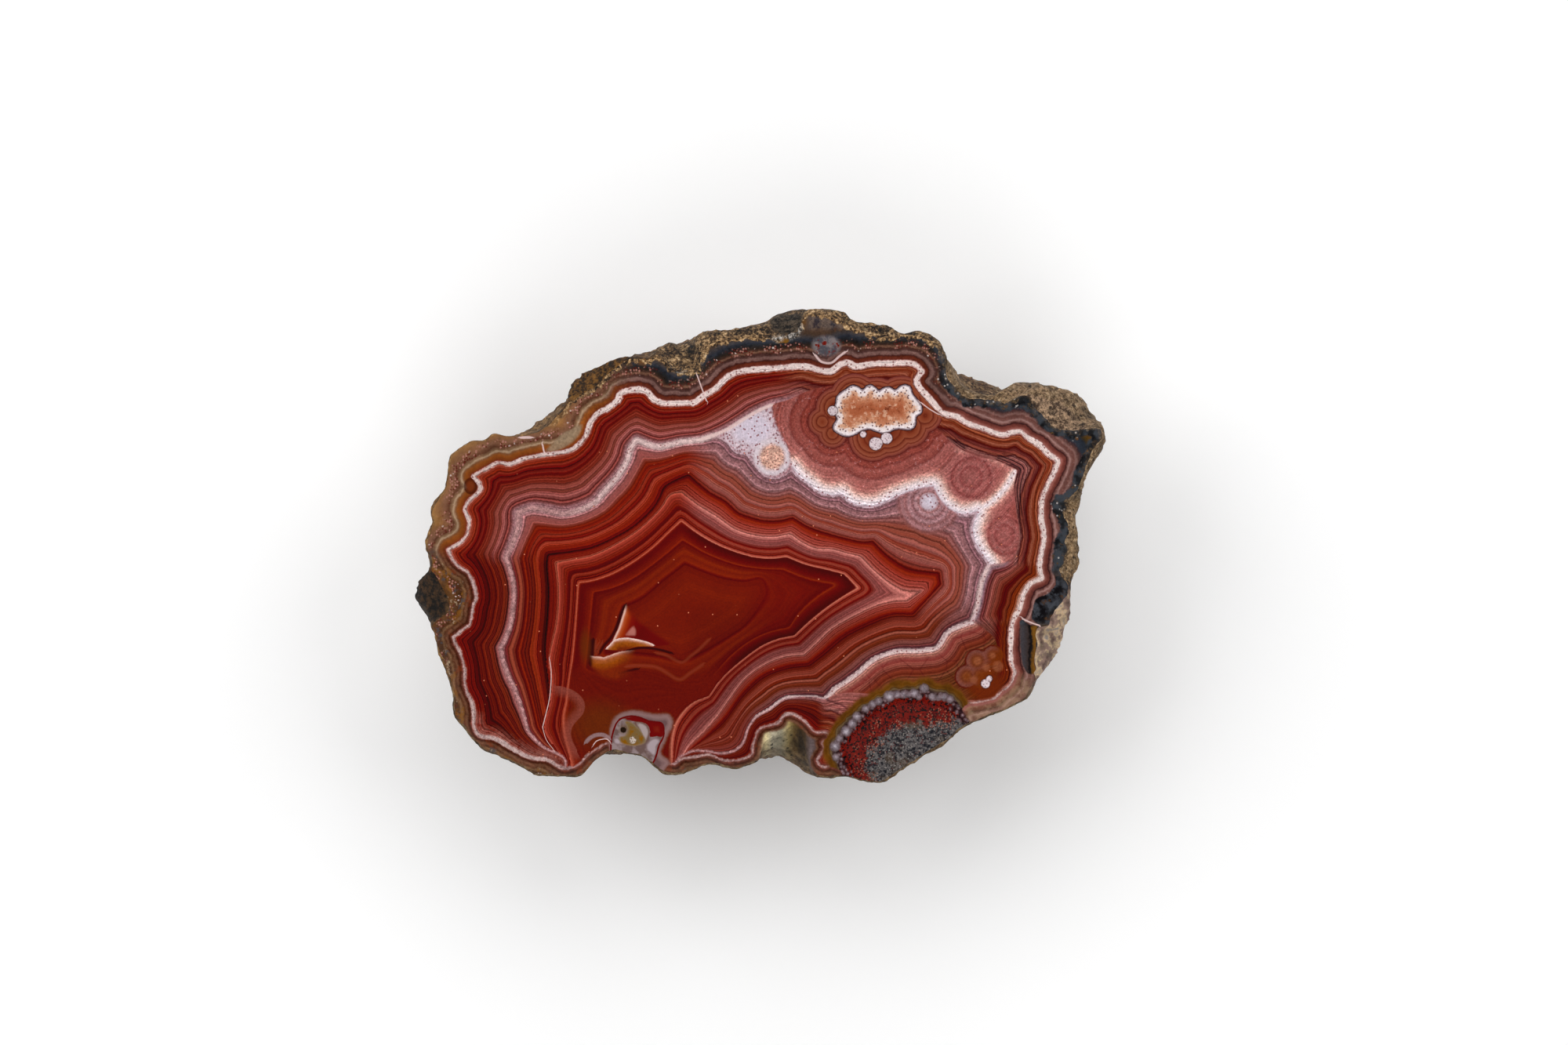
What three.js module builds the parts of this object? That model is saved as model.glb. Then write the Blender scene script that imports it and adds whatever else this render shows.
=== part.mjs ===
// Half of a banded agate nodule, cut flat and polished, lying on its rough round back.
// Millimetres, +Z up. +X runs along the length of the polished face.
// The origin is under the middle of the stone, at the level of the flat spot it rests on.

import * as THREE from 'three';

// Driving dimensions.
const THICKNESS = 29; // flat spot to polished face
const FOOT_LENGTH = 34; // the flat spot, along X
const FOOT_WIDTH = 23; // the flat spot, along Y
const BEVEL = 0.3; // width of the eased edge round the polished face
const BEVEL_DEPTH = 0.6;
const RIM_SLOPE = 0.9; // how steeply the rough rim falls away outside the polish
const BACK_START_DEPTH = 2.5; // where the back would start to turn in if the rim were even
const OUTLINE_FADE = 0.3; // share of the back over which the outline's dents die out
const BACK_TURN = 76; // degrees that the back turns through, from the widest line to the flat spot
const BACK_FULLNESS = 0.86; // 1 is an ellipse, less is fuller
const LUMP_HEIGHT = 3.0;
const LUMP_SPACING = 9;
const KNOB_HEIGHT = 1.3;
const KNOB_SPACING = 4.6;
const LEAST_FALL = 0.08; // each ring lies at least this far under the one above

// Mesh fineness.
const COLUMNS = 156;
const RIM_RINGS = 3;
const BACK_RINGS = 24;

// The outlines are drawn on a sheet of 0.1 mm squares, x to the right and y down.
const SQUARE = 0.1;
const SHEET_MIDDLE = [969.5, 695];
const HUB = [974, 706]; // the point under which the flat spot lies

// The widest line of the stone, seen from above.
const SILHOUETTE = [
  [542, 698], [545, 681], [551, 665], [548, 652], [557, 635], [567, 621], [570, 600],
  [574, 582], [585, 572], [599, 563], [618, 561], [629, 553], [645, 556], [665, 554],
  [685, 549], [699, 540], [710, 528], [721, 515], [726, 496], [741, 480], [757, 470],
  [780, 460], [800, 455], [829, 455], [843, 442], [856, 436], [865, 438], [881, 431],
  [897, 422], [925, 421], [951, 416], [978, 408], [990, 400], [1011, 393], [1038, 392],
  [1060, 393], [1078, 399], [1087, 407], [1112, 413], [1130, 416], [1151, 425],
  [1172, 421], [1198, 433], [1207, 450], [1216, 472], [1227, 489], [1251, 502],
  [1273, 504], [1286, 499], [1294, 488], [1312, 486], [1340, 492], [1372, 505],
  [1391, 523], [1407, 547], [1411, 569], [1399, 587], [1384, 612], [1378, 635],
  [1372, 661], [1376, 684], [1375, 713], [1368, 737], [1365, 757], [1366, 780],
  [1353, 808], [1343, 843], [1325, 864], [1311, 890], [1288, 903], [1258, 916],
  [1226, 931], [1204, 950], [1176, 967], [1150, 983], [1129, 998], [1108, 998],
  [1080, 992], [1048, 993], [1029, 989], [1012, 975], [993, 963], [979, 964],
  [959, 975], [933, 982], [905, 976], [883, 984], [851, 989], [835, 979], [820, 967],
  [800, 962], [778, 960], [758, 971], [741, 989], [715, 991], [682, 988], [660, 977],
  [635, 965], [613, 955], [594, 932], [577, 909], [577, 885], [567, 854], [557, 829],
  [553, 808], [540, 785], [528, 764], [534, 743], [548, 725], [548, 712],
];

// Stretches where the polish stops short of the widest line and rough rock shows beyond it.
const ROUGH_RIMS = {
  leftBump: [
    [546, 724], [553, 731], [562, 745], [571, 763], [574, 773], [572, 781], [560, 789],
    [552, 797],
  ],
  upperLeftSkin: [
    [719, 518], [733, 510], [750, 498], [762, 490], [770, 480], [785, 467], [800, 460],
    [815, 455],
  ],
  topCrust: [
    [833, 449], [845, 458], [860, 472], [872, 476], [888, 474], [895, 455], [905, 440],
    [930, 433], [960, 430], [1000, 430], [1018, 422], [1026, 403], [1035, 400],
    [1050, 402], [1080, 412], [1098, 422], [1130, 430], [1150, 428], [1175, 430],
    [1192, 438], [1204, 455], [1208, 480], [1218, 494], [1230, 506], [1250, 509],
    [1280, 514], [1287, 518], [1298, 506], [1312, 506], [1320, 520], [1333, 533],
    [1345, 545], [1370, 549], [1395, 546], [1409, 549],
  ],
  rightCrust: [
    [1411, 556], [1398, 568], [1388, 586], [1375, 622], [1364, 635], [1350, 643],
    [1355, 655], [1364, 678], [1358, 690], [1352, 715], [1351, 728], [1361, 745],
    [1364, 757],
  ],
  pearlySkin: [
    [1364, 757], [1354, 768], [1341, 787], [1337, 799], [1325, 799], [1321, 810],
    [1323, 822], [1319, 842], [1322, 852], [1318, 859], [1325, 866],
  ],
  bottomNotch: [
    [958, 976], [968, 966], [972, 955], [975, 946], [992, 938], [1012, 926], [1022, 933],
    [1029, 952], [1034, 978], [1050, 994],
  ],
};

function fromSheet([x, y]) {
  return new THREE.Vector2((x - SHEET_MIDDLE[0]) * SQUARE, (SHEET_MIDDLE[1] - y) * SQUARE);
}

const hub = fromSheet(HUB);

// Distance from the hub to a line of points along one bearing, or null where it misses them.
function reach(points, bearing, closed) {
  const along = new THREE.Vector2(Math.cos(bearing), Math.sin(bearing));
  const across = new THREE.Vector2(-along.y, along.x);
  let farthest = null;
  const count = closed ? points.length : points.length - 1;
  for (let i = 0; i < count; i += 1) {
    const start = points[i].clone().sub(hub);
    const end = points[(i + 1) % points.length].clone().sub(hub);
    const startSide = start.dot(across);
    const endSide = end.dot(across);
    if (startSide * endSide > 0 || startSide === endSide) continue;
    const share = startSide / (startSide - endSide);
    const distance = start.lerp(end, share).dot(along);
    if (distance > 0 && (farthest === null || distance > farthest)) farthest = distance;
  }
  return farthest;
}

const silhouette = SILHOUETTE.map(fromSheet);
const roughRims = Object.values(ROUGH_RIMS).map((rim) => rim.map(fromSheet));

function silhouetteReach(bearing) {
  return reach(silhouette, bearing, true);
}

function faceReach(bearing) {
  let distance = silhouetteReach(bearing) - BEVEL;
  for (const rim of roughRims) {
    const rimDistance = reach(rim, bearing, false);
    if (rimDistance !== null) distance = Math.min(distance, rimDistance);
  }
  return distance;
}

// The silhouette with its small dents and knobs evened out.
function plainReach(bearing) {
  const window = 0.42;
  const samples = 13;
  let sum = 0;
  for (let i = 0; i < samples; i += 1) {
    sum += silhouetteReach(bearing + window * (i / (samples - 1) - 0.5));
  }
  return sum / samples;
}

function footReach(bearing) {
  const x = Math.cos(bearing) / (FOOT_LENGTH / 2);
  const y = Math.sin(bearing) / (FOOT_WIDTH / 2);
  return 1 / Math.hypot(x, y);
}

// Bearings spaced evenly along the silhouette, counter-clockwise.
function columnBearings() {
  const curve = new THREE.CatmullRomCurve3(
    silhouette.map((point) => new THREE.Vector3(point.x, point.y, 0)),
    true,
    'centripetal',
  );
  const spaced = curve.getSpacedPoints(COLUMNS).slice(0, COLUMNS);
  const bearings = spaced.map((point) => Math.atan2(point.y - hub.y, point.x - hub.x));
  return bearings.sort((first, second) => first - second);
}

// A steady pseudo-random number from 0 to 1 for each cell of a lattice.
function cellValue(x, y, z) {
  const wave = Math.sin(x * 12.9898 + y * 78.233 + z * 37.719) * 43758.5453;
  return wave - Math.floor(wave);
}

// Rounded lumps: highest over scattered centres, lowest where they meet. Runs from 0 to 1.
function lumps(point, spacing) {
  const cell = point.clone().divideScalar(spacing);
  const base = cell.clone().floor();
  let nearest = Infinity;
  for (let dx = -1; dx <= 1; dx += 1) {
    for (let dy = -1; dy <= 1; dy += 1) {
      for (let dz = -1; dz <= 1; dz += 1) {
        const x = base.x + dx;
        const y = base.y + dy;
        const z = base.z + dz;
        const centre = new THREE.Vector3(
          x + cellValue(x, y, z),
          y + cellValue(z, x, y),
          z + cellValue(y, z, x),
        );
        nearest = Math.min(nearest, centre.distanceTo(cell));
      }
    }
  }
  return Math.max(0, 1 - nearest * nearest);
}

// One column's points from the polished edge down to the flat spot, before its lumps.
// Each holds the distance from the hub, the depth under the face, the outward tilt of the
// surface and how much of the lumps' height it carries.
function columnProfile(bearing) {
  const face = faceReach(bearing);
  const widest = silhouetteReach(bearing);
  const plain = plainReach(bearing);
  const foot = footReach(bearing);
  const rim = widest - face;
  const rimDepth = BEVEL_DEPTH + RIM_SLOPE * (rim - BEVEL);
  const profile = [];
  for (let i = 0; i <= RIM_RINGS; i += 1) {
    const share = i / RIM_RINGS;
    profile.push({
      reach: face + rim * Math.sin(share * Math.PI / 2),
      depth: rimDepth * share,
      tilt: 0,
      lumpShare: share * Math.min(1, rim / 3) * 0.5,
    });
  }
  const turn = THREE.MathUtils.degToRad(BACK_TURN);
  const lastCosine = Math.cos(turn) ** BACK_FULLNESS;
  for (let i = 1; i <= BACK_RINGS; i += 1) {
    const share = i / BACK_RINGS;
    const angle = turn * share;
    const fall = (Math.sin(angle) / Math.sin(turn)) ** BACK_FULLNESS;
    const inward = (Math.cos(angle) ** BACK_FULLNESS - lastCosine) / (1 - lastCosine);
    const evened = THREE.MathUtils.smoothstep(share, 0, OUTLINE_FADE);
    const outline = THREE.MathUtils.lerp(widest, plain, evened);
    const start = THREE.MathUtils.lerp(rimDepth, BACK_START_DEPTH, evened);
    profile.push({
      reach: foot + (outline - foot) * inward,
      depth: start + (THICKNESS - start) * fall,
      tilt: angle,
      lumpShare: THREE.MathUtils.smoothstep(share, 0, 0.2)
        * THREE.MathUtils.smoothstep(1 - share, 0, 0.12),
    });
  }
  return profile;
}

function columnPoints(bearing) {
  const points = [];
  let ceiling = Infinity;
  for (const { reach: distance, depth, tilt, lumpShare } of columnProfile(bearing)) {
    const point = new THREE.Vector3(
      hub.x + distance * Math.cos(bearing),
      hub.y + distance * Math.sin(bearing),
      THICKNESS - depth,
    );
    const outward = new THREE.Vector3(
      Math.cos(bearing) * Math.cos(tilt),
      Math.sin(bearing) * Math.cos(tilt),
      -Math.sin(tilt),
    );
    const bump = LUMP_HEIGHT * (lumps(point, LUMP_SPACING) - 0.75)
      + KNOB_HEIGHT * (lumps(point, KNOB_SPACING) - 0.75);
    point.addScaledVector(outward, bump * lumpShare);
    if (depth > 0) point.z = Math.min(point.z, ceiling - LEAST_FALL);
    ceiling = point.z;
    points.push(point);
  }
  // The last point lies on the flat spot, and none above it comes as low.
  points[points.length - 1].z = 0;
  for (let i = points.length - 2; i > 0; i -= 1) {
    const floor = points[i + 1].z + LEAST_FALL;
    points[i].z = Math.max(points[i].z, floor);
  }
  return points;
}

function agateGeometry() {
  const bearings = columnBearings();
  const columns = bearings.map(columnPoints);
  const rings = columns[0].length;
  const positions = [];
  for (const column of columns) {
    for (const point of column) positions.push(point.x, point.y, point.z);
  }
  const faceMiddle = positions.length / 3;
  positions.push(hub.x, hub.y, THICKNESS);
  const footMiddle = faceMiddle + 1;
  positions.push(hub.x, hub.y, 0);

  const triangles = [];
  for (let i = 0; i < COLUMNS; i += 1) {
    const here = i * rings;
    const next = ((i + 1) % COLUMNS) * rings;
    for (let k = 0; k < rings - 1; k += 1) {
      triangles.push(here + k, here + k + 1, next + k + 1);
      triangles.push(here + k, next + k + 1, next + k);
    }
    triangles.push(faceMiddle, here, next);
    triangles.push(footMiddle, next + rings - 1, here + rings - 1);
  }

  const geometry = new THREE.BufferGeometry();
  geometry.setAttribute('position', new THREE.Float32BufferAttribute(positions, 3));
  geometry.setIndex(triangles);
  geometry.computeVertexNormals();
  return geometry;
}

const agateMaterial = new THREE.MeshStandardMaterial({
  color: 0x7d2a1a,
  roughness: 0.3,
  metalness: 0,
});

const agateHalf = new THREE.Mesh(agateGeometry(), agateMaterial);
agateHalf.name = 'agate_half';

const agate = new THREE.Group();
agate.add(agateHalf);

export default agate;
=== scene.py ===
import math

import bpy
import numpy as np
from mathutils.geometry import delaunay_2d_cdt
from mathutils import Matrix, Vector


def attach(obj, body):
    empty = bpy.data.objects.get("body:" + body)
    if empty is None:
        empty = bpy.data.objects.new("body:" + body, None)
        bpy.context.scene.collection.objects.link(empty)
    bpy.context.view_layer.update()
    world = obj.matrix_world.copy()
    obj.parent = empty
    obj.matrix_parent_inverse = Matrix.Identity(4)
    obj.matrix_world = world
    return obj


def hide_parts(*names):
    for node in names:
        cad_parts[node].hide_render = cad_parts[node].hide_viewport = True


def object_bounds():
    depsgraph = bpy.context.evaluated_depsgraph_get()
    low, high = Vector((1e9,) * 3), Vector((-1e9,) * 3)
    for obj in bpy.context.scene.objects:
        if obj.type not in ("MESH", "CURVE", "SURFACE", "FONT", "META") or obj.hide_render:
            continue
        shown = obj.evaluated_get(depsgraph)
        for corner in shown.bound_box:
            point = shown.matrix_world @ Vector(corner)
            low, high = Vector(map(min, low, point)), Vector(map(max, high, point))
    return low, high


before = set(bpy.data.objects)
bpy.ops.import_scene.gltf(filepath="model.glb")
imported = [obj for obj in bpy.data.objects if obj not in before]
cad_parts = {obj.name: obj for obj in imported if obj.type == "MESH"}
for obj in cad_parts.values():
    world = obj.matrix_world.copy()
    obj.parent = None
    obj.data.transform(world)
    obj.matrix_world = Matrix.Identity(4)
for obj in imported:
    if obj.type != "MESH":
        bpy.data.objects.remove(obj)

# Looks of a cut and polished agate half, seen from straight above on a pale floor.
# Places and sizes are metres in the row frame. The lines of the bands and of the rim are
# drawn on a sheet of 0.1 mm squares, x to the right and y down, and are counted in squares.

cad_low, cad_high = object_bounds()

SQUARE = 0.0001
SQUARE_MM = 0.1
SHEET_MIDDLE = np.array([969.5, 695.0])
HUB = np.array([974.0, 706.0])  # over the middle of the flat spot that the stone rests on
TOP = cad_high.z
K = 1  # third value of a point where a line turns a sharp corner

# The rough back, with the sizes of the CAD part in millimetres.
FOOT_LENGTH = 34
FOOT_WIDTH = 23
BEVEL = 0.3
BEVEL_DEPTH = 0.6
RIM_SLOPE = 0.9
BACK_START_DEPTH = 2.5
OUTLINE_FADE = 0.3
EVENED_TURN = 0.21  # radians to each side that the back's outline is evened over
BACK_TURN = math.radians(76)
BACK_FULLNESS = 0.86
LUMPS = ((3.0, 9.0), (1.3, 4.6))  # height, spacing
# A height below zero makes sharp ridges with round hollows instead of round lumps.
GRAVEL = ((0.48, 2.1), (0.3, 1.0), (-0.32, 0.6))
JAGS = ((0.24, 1.7), (0.16, 0.8), (-0.14, 0.45))  # along the polished edge

# Fineness of the mesh.
COLUMNS = 900
RIM_RINGS = 8
BACK_RINGS = 39
RING_GAP = 0.01  # least fall from ring to ring, in millimetres
FACE_SPACING = 3.1  # squares between points of the polished face

# Places on the baking map, whose side is 1.
MAP_MARGIN = 0.01
STRIP_GAP = 0.015
STRIP_WIDTH = 0.8
FOOT_MAP_SCALE = 4.6
FOOT_MAP_PLACE = (0.905, 0.13)

# The stage: the camera sees the whole sheet, and each lamp has a turn in degrees and a power.
VIEW_SIZE = (2000, 1333)  # squares
LENS = 150
SENSOR_WIDTH = 36
FLOOR_HALF = 0.6
LAMPS = (("left", 160, 3.7), ("right", 20, 2.7), ("front", 270, 2.7), ("back", 90, 2.9))
LAMP_REACH = 0.62
LAMP_SIZE = 0.7
SKY_STRENGTH = 0.16

# The polish and the bumps of the rock.
STONE_IOR = 1.54
POLISH_VEIL = 0.0045
BUMP_HEIGHT = 0.0003

# The widest line of the stone, seen from above.
SILHOUETTE = [
    (542, 698), (545, 681), (551, 665), (548, 652), (557, 635), (567, 621), (570, 600), (574, 582),
    (585, 572), (599, 563), (618, 561), (629, 553), (645, 556), (665, 554), (685, 549), (699, 540),
    (710, 528), (721, 515), (726, 496), (741, 480), (757, 470), (780, 460), (800, 455), (829, 455),
    (843, 442), (856, 436), (865, 438), (881, 431), (897, 422), (925, 421), (951, 416), (978, 408),
    (990, 400), (1011, 393), (1038, 392), (1060, 393), (1078, 399), (1087, 407), (1112, 413),
    (1130, 416), (1151, 425), (1172, 421), (1198, 433), (1207, 450), (1216, 472), (1227, 489),
    (1251, 502), (1273, 504), (1286, 499), (1294, 488), (1312, 486), (1340, 492), (1372, 505),
    (1391, 523), (1407, 547), (1411, 569), (1399, 587), (1384, 612), (1378, 635), (1372, 661),
    (1376, 684), (1375, 713), (1368, 737), (1365, 757), (1366, 780), (1353, 808), (1343, 843),
    (1325, 864), (1311, 890), (1288, 903), (1258, 916), (1226, 931), (1204, 950), (1176, 967),
    (1150, 983), (1129, 998), (1108, 998), (1080, 992), (1048, 993), (1029, 989), (1012, 975),
    (993, 963), (979, 964), (959, 975), (933, 982), (905, 976), (883, 984), (851, 989), (835, 979),
    (820, 967), (800, 962), (778, 960), (758, 971), (741, 989), (715, 991), (682, 988), (660, 977),
    (635, 965), (613, 955), (594, 932), (577, 909), (577, 885), (567, 854), (557, 829), (553, 808),
    (540, 785), (528, 764), (534, 743), (548, 725), (548, 712),
]

# Stretches where the polish stops short of the widest line and rough rock shows beyond it.
LEFT_BUMP_RIM = [
    (546, 724), (553, 731), (562, 745), (571, 763), (574, 773), (572, 781), (560, 789), (552, 797),
]
UPPER_LEFT_RIM = [
    (719, 518), (733, 510), (750, 498), (762, 490), (770, 480), (785, 467), (800, 460), (815, 455),
]
TOP_RIM = [
    (833, 449), (845, 458), (860, 472), (872, 476), (888, 474), (895, 455), (905, 440), (930, 433),
    (960, 430), (1000, 430), (1018, 422), (1026, 403), (1035, 400), (1050, 402), (1080, 412),
    (1098, 422), (1130, 430), (1150, 428), (1175, 430), (1192, 438), (1204, 455), (1208, 480),
    (1218, 494), (1230, 506), (1250, 509), (1280, 514), (1287, 518), (1298, 506), (1312, 506),
    (1320, 520), (1333, 533), (1345, 545), (1370, 549), (1395, 546), (1409, 549),
]
RIGHT_RIM = [
    (1411, 556), (1398, 568), (1388, 586), (1375, 622), (1364, 635), (1350, 643), (1355, 655),
    (1364, 678), (1358, 690), (1352, 715), (1351, 728), (1361, 745), (1364, 757),
]
PEARLY_RIM = [
    (1364, 757), (1354, 768), (1341, 787), (1337, 799), (1325, 799), (1321, 810), (1323, 822),
    (1319, 842), (1322, 852), (1318, 859), (1325, 866),
]
NOTCH_RIM = [
    (958, 976), (968, 966), (972, 955), (975, 946), (992, 938), (1012, 926), (1022, 933), (1029, 952),
    (1034, 978), (1050, 994),
]
ROUGH_RIMS = (LEFT_BUMP_RIM, UPPER_LEFT_RIM, TOP_RIM, RIGHT_RIM, PEARLY_RIM, NOTCH_RIM)

# The outer white band: the border between the brown rind and the red bands.
WHITE_BAND = [
    (603, 608, K), (612, 602), (622, 597), (635, 590), (650, 592), (665, 586), (683, 582), (700, 579),
    (717, 577), (730, 573), (740, 565), (746, 558), (750, 548), (752, 540), (763, 527), (776, 520),
    (788, 510), (791, 502), (802, 498), (818, 497), (826, 500), (833, 508), (846, 514), (868, 514),
    (886, 513), (898, 504), (913, 495), (926, 482), (943, 474), (966, 471), (995, 469), (1027, 467),
    (1045, 472), (1060, 473), (1070, 466), (1080, 462), (1092, 467), (1112, 464), (1140, 463),
    (1160, 463), (1170, 467), (1176, 474, K), (1169, 485), (1175, 497), (1186, 508), (1197, 521),
    (1204, 527), (1220, 531), (1234, 539), (1250, 545), (1272, 553), (1282, 554), (1292, 551),
    (1303, 551), (1312, 559), (1324, 565), (1337, 578), (1350, 588, K), (1345, 602), (1337, 618),
    (1330, 636), (1328, 655), (1332, 685), (1329, 702), (1326, 722), (1329, 738, K), (1314, 745),
    (1305, 760), (1301, 776), (1293, 790), (1290, 806), (1290, 843), (1295, 858, K), (1289, 873),
    (1278, 882), (1268, 891), (1248, 896), (1232, 898), (1222, 910, K), (1222, 945), (1180, 985),
    (1130, 1010), (1085, 1005), (1078, 985), (1063, 977, K), (1047, 978), (1042, 970), (1048, 960),
    (1051, 953), (1048, 947), (1057, 942), (1055, 935), (1040, 934), (1026, 920), (1010, 911),
    (1000, 913), (993, 922), (975, 927), (968, 931), (961, 948), (958, 963), (938, 970), (922, 970),
    (905, 963), (885, 966), (870, 968), (862, 975, K), (852, 974), (838, 970), (825, 959), (812, 955),
    (795, 953), (775, 948), (762, 955), (750, 963), (739, 975), (727, 980), (717, 980), (697, 969),
    (678, 967), (653, 955), (630, 942), (611, 938), (604, 925), (604, 912), (602, 897), (593, 875),
    (592, 850), (587, 833), (580, 819), (578, 813, K), (588, 805), (599, 796), (601, 789), (604, 771),
    (607, 763), (604, 746), (597, 731), (584, 722), (576, 712), (571, 701, K), (584, 694), (594, 685),
    (598, 672), (598, 664), (593, 650), (597, 640), (608, 630), (612, 625), (612, 618),
]

# The inner white band runs up the left side from the apex at the foot of the bands.
INNER_WHITE_LEFT = [
    (721, 985, K), (720, 968), (692, 952), (678, 938), (673, 930), (670, 918), (664, 898), (656, 876),
    (651, 867), (643, 846), (639, 826, K), (645, 815), (652, 795), (655, 772), (656, 755), (654, 738),
    (648, 718), (645, 712, K), (652, 697), (659, 678), (661, 668), (660, 654, K), (678, 648),
    (698, 651), (718, 655), (740, 650), (760, 640), (770, 628), (790, 605), (801, 585), (804, 572),
    (812, 561, K), (830, 568), (842, 570), (868, 564), (893, 561),
]
# To the right it follows the crisp scalloped edge under the white eyes.
INNER_WHITE_RIGHT = [
    (915, 556), (930, 565), (938, 575), (955, 580), (960, 588), (975, 605), (988, 609), (1000, 605),
    (1010, 597, K), (1018, 607), (1032, 618), (1045, 628), (1060, 632), (1074, 631, K), (1080, 638),
    (1092, 644), (1105, 646), (1118, 645), (1142, 634), (1170, 624), (1190, 620, K), (1200, 638),
    (1210, 648), (1222, 655), (1235, 656), (1247, 652, K), (1240, 675), (1243, 690), (1249, 702),
    (1262, 719, K), (1252, 742), (1247, 770), (1240, 792, K), (1218, 800), (1208, 806), (1196, 824),
    (1190, 827, K), (1170, 829), (1148, 829), (1128, 834), (1110, 843), (1094, 857), (1075, 871),
    (1065, 877), (1051, 892, K),
]
# The white vein over the pale eyes.
VEIN = [(905, 557), (925, 549), (945, 537), (965, 525)]
# The pink granular zone that holds the eyes ends at this line, inside the outer band.
GRANULAR_EDGE = VEIN + [
    (983, 516), (1005, 510), (1030, 499), (1060, 492),
    (1110, 487), (1150, 487), (1158, 503), (1180, 530), (1205, 556), (1225, 573), (1245, 582),
    (1272, 588), (1297, 600, K), (1293, 622), (1296, 650), (1300, 680), (1296, 704), (1282, 717),
    (1262, 720, K), (1252, 743), (1247, 771), (1241, 793, K), (1256, 803), (1269, 815), (1273, 840),
    (1271, 862), (1260, 882), (1235, 893), (1200, 892), (1120, 886), (1075, 884), (1051, 892, K),
]
INNER_WHITE_FOOT = [
    (1040, 889), (1012, 889), (1000, 891), (982, 904), (965, 914), (955, 927), (948, 947), (938, 957),
    (920, 961), (900, 958), (885, 958), (868, 965), (860, 975, K), (862, 1004), (790, 1016),
    (722, 1004),
]
INNER_WHITE = INNER_WHITE_LEFT + INNER_WHITE_RIGHT + INNER_WHITE_FOOT
GRANULAR = INNER_WHITE_LEFT + GRANULAR_EDGE + INNER_WHITE_FOOT

# Lines that the red bands follow, each inside the one before.
DARK_LINE = [
    (724, 1001, K), (721, 972), (712, 945), (704, 900), (698, 850), (696, 824), (699, 783), (700, 752),
    (698, 722), (699, 708, K), (730, 704), (755, 699), (781, 688), (806, 674), (832, 651), (842, 636),
    (848, 622), (860, 614), (878, 606, K), (890, 617), (905, 629), (926, 641), (940, 654), (955, 660),
    (975, 665), (995, 665), (1011, 661, K), (1029, 672), (1054, 681), (1080, 688), (1100, 692),
    (1113, 691, K), (1131, 709), (1156, 725), (1180, 730), (1197, 731, K), (1199, 745, K),
    (1164, 783, K), (1138, 783), (1105, 795), (1074, 811), (1049, 832), (1031, 846, K), (1003, 850),
    (972, 862), (947, 885), (925, 915), (905, 935), (882, 955), (861, 978, K), (859, 1001), (790, 1011),
]
SALMON_LINE = [
    (726, 998, K), (722, 975), (704, 950), (693, 930), (695, 915), (700, 898), (703, 865), (699, 850),
    (700, 837), (704, 819), (709, 799), (712, 773), (712, 747), (709, 722), (708, 717, K), (730, 713),
    (755, 708), (781, 696), (806, 681), (826, 665), (844, 646), (854, 631), (869, 627, K), (888, 642),
    (914, 658), (939, 675), (962, 682), (988, 684), (1008, 680, K), (1023, 691), (1041, 699),
    (1062, 700), (1080, 705), (1098, 709, K), (1115, 727), (1138, 745), (1156, 753), (1178, 753, K),
    (1157, 767, K), (1138, 768), (1115, 774), (1090, 786), (1062, 802), (1044, 819), (1026, 836, K),
    (1003, 838), (978, 847), (952, 865), (929, 895), (915, 915), (898, 935), (880, 952), (861, 981, K),
    (856, 998), (790, 1007),
]
FRAME_LINE = [
    (730, 994, K), (726, 965), (720, 940), (718, 915), (722, 895), (724, 878), (726, 865), (730, 842),
    (733, 811), (735, 786), (737, 755), (738, 743, K), (755, 741), (781, 732), (806, 718), (832, 699),
    (852, 680), (869, 664, K), (888, 679), (914, 694), (939, 704), (965, 711), (988, 712),
    (1003, 710, K), (1029, 720), (1054, 726), (1077, 732, K), (1095, 750, K), (1074, 762), (1051, 778),
    (1029, 796), (1013, 811, K), (993, 815), (972, 824), (947, 842), (921, 865), (904, 888, K),
    (885, 896), (872, 908), (862, 925), (858, 945), (858, 970, K), (853, 994), (790, 1003),
]
FIELD_LINE = [
    (748, 852, K), (752, 815), (755, 785), (758, 756, K), (781, 751), (806, 740), (832, 722),
    (857, 702), (871, 690, K), (901, 707), (939, 721), (970, 726), (998, 727, K), (1029, 739),
    (1064, 746, K), (1042, 760), (1020, 780), (1006, 800, K), (980, 806), (958, 816), (935, 833),
    (912, 858), (895, 878, K), (870, 876), (820, 862), (775, 862),
]
CORE_LINE = [
    (796, 774, K), (819, 763), (844, 742), (865, 726), (873, 719, K), (900, 730), (925, 738),
    (950, 741), (971, 738), (978, 755), (968, 775), (950, 798), (925, 815), (895, 832), (870, 843, K),
    (840, 836), (800, 832), (772, 832, K), (785, 814), (791, 799),
]
# The bright front that goes round the pink eye, and the duller one above it.
EYE_RIM = [(1246, 652), (1262, 642), (1274, 632), (1284, 620), (1291, 608), (1297, 600)]
EYE_TOP = [(1300, 601), (1288, 595), (1272, 589), (1252, 583), (1236, 578), (1220, 573)]
# The white zone of the two pale eyes, under the white vein.
EYES = [
    (893, 561, K), *VEIN, (983, 516, K), (985, 530), (990, 545), (998, 560), (1005, 575),
    *INNER_WHITE_RIGHT[8:0:-1], (915, 557),
]

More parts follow.
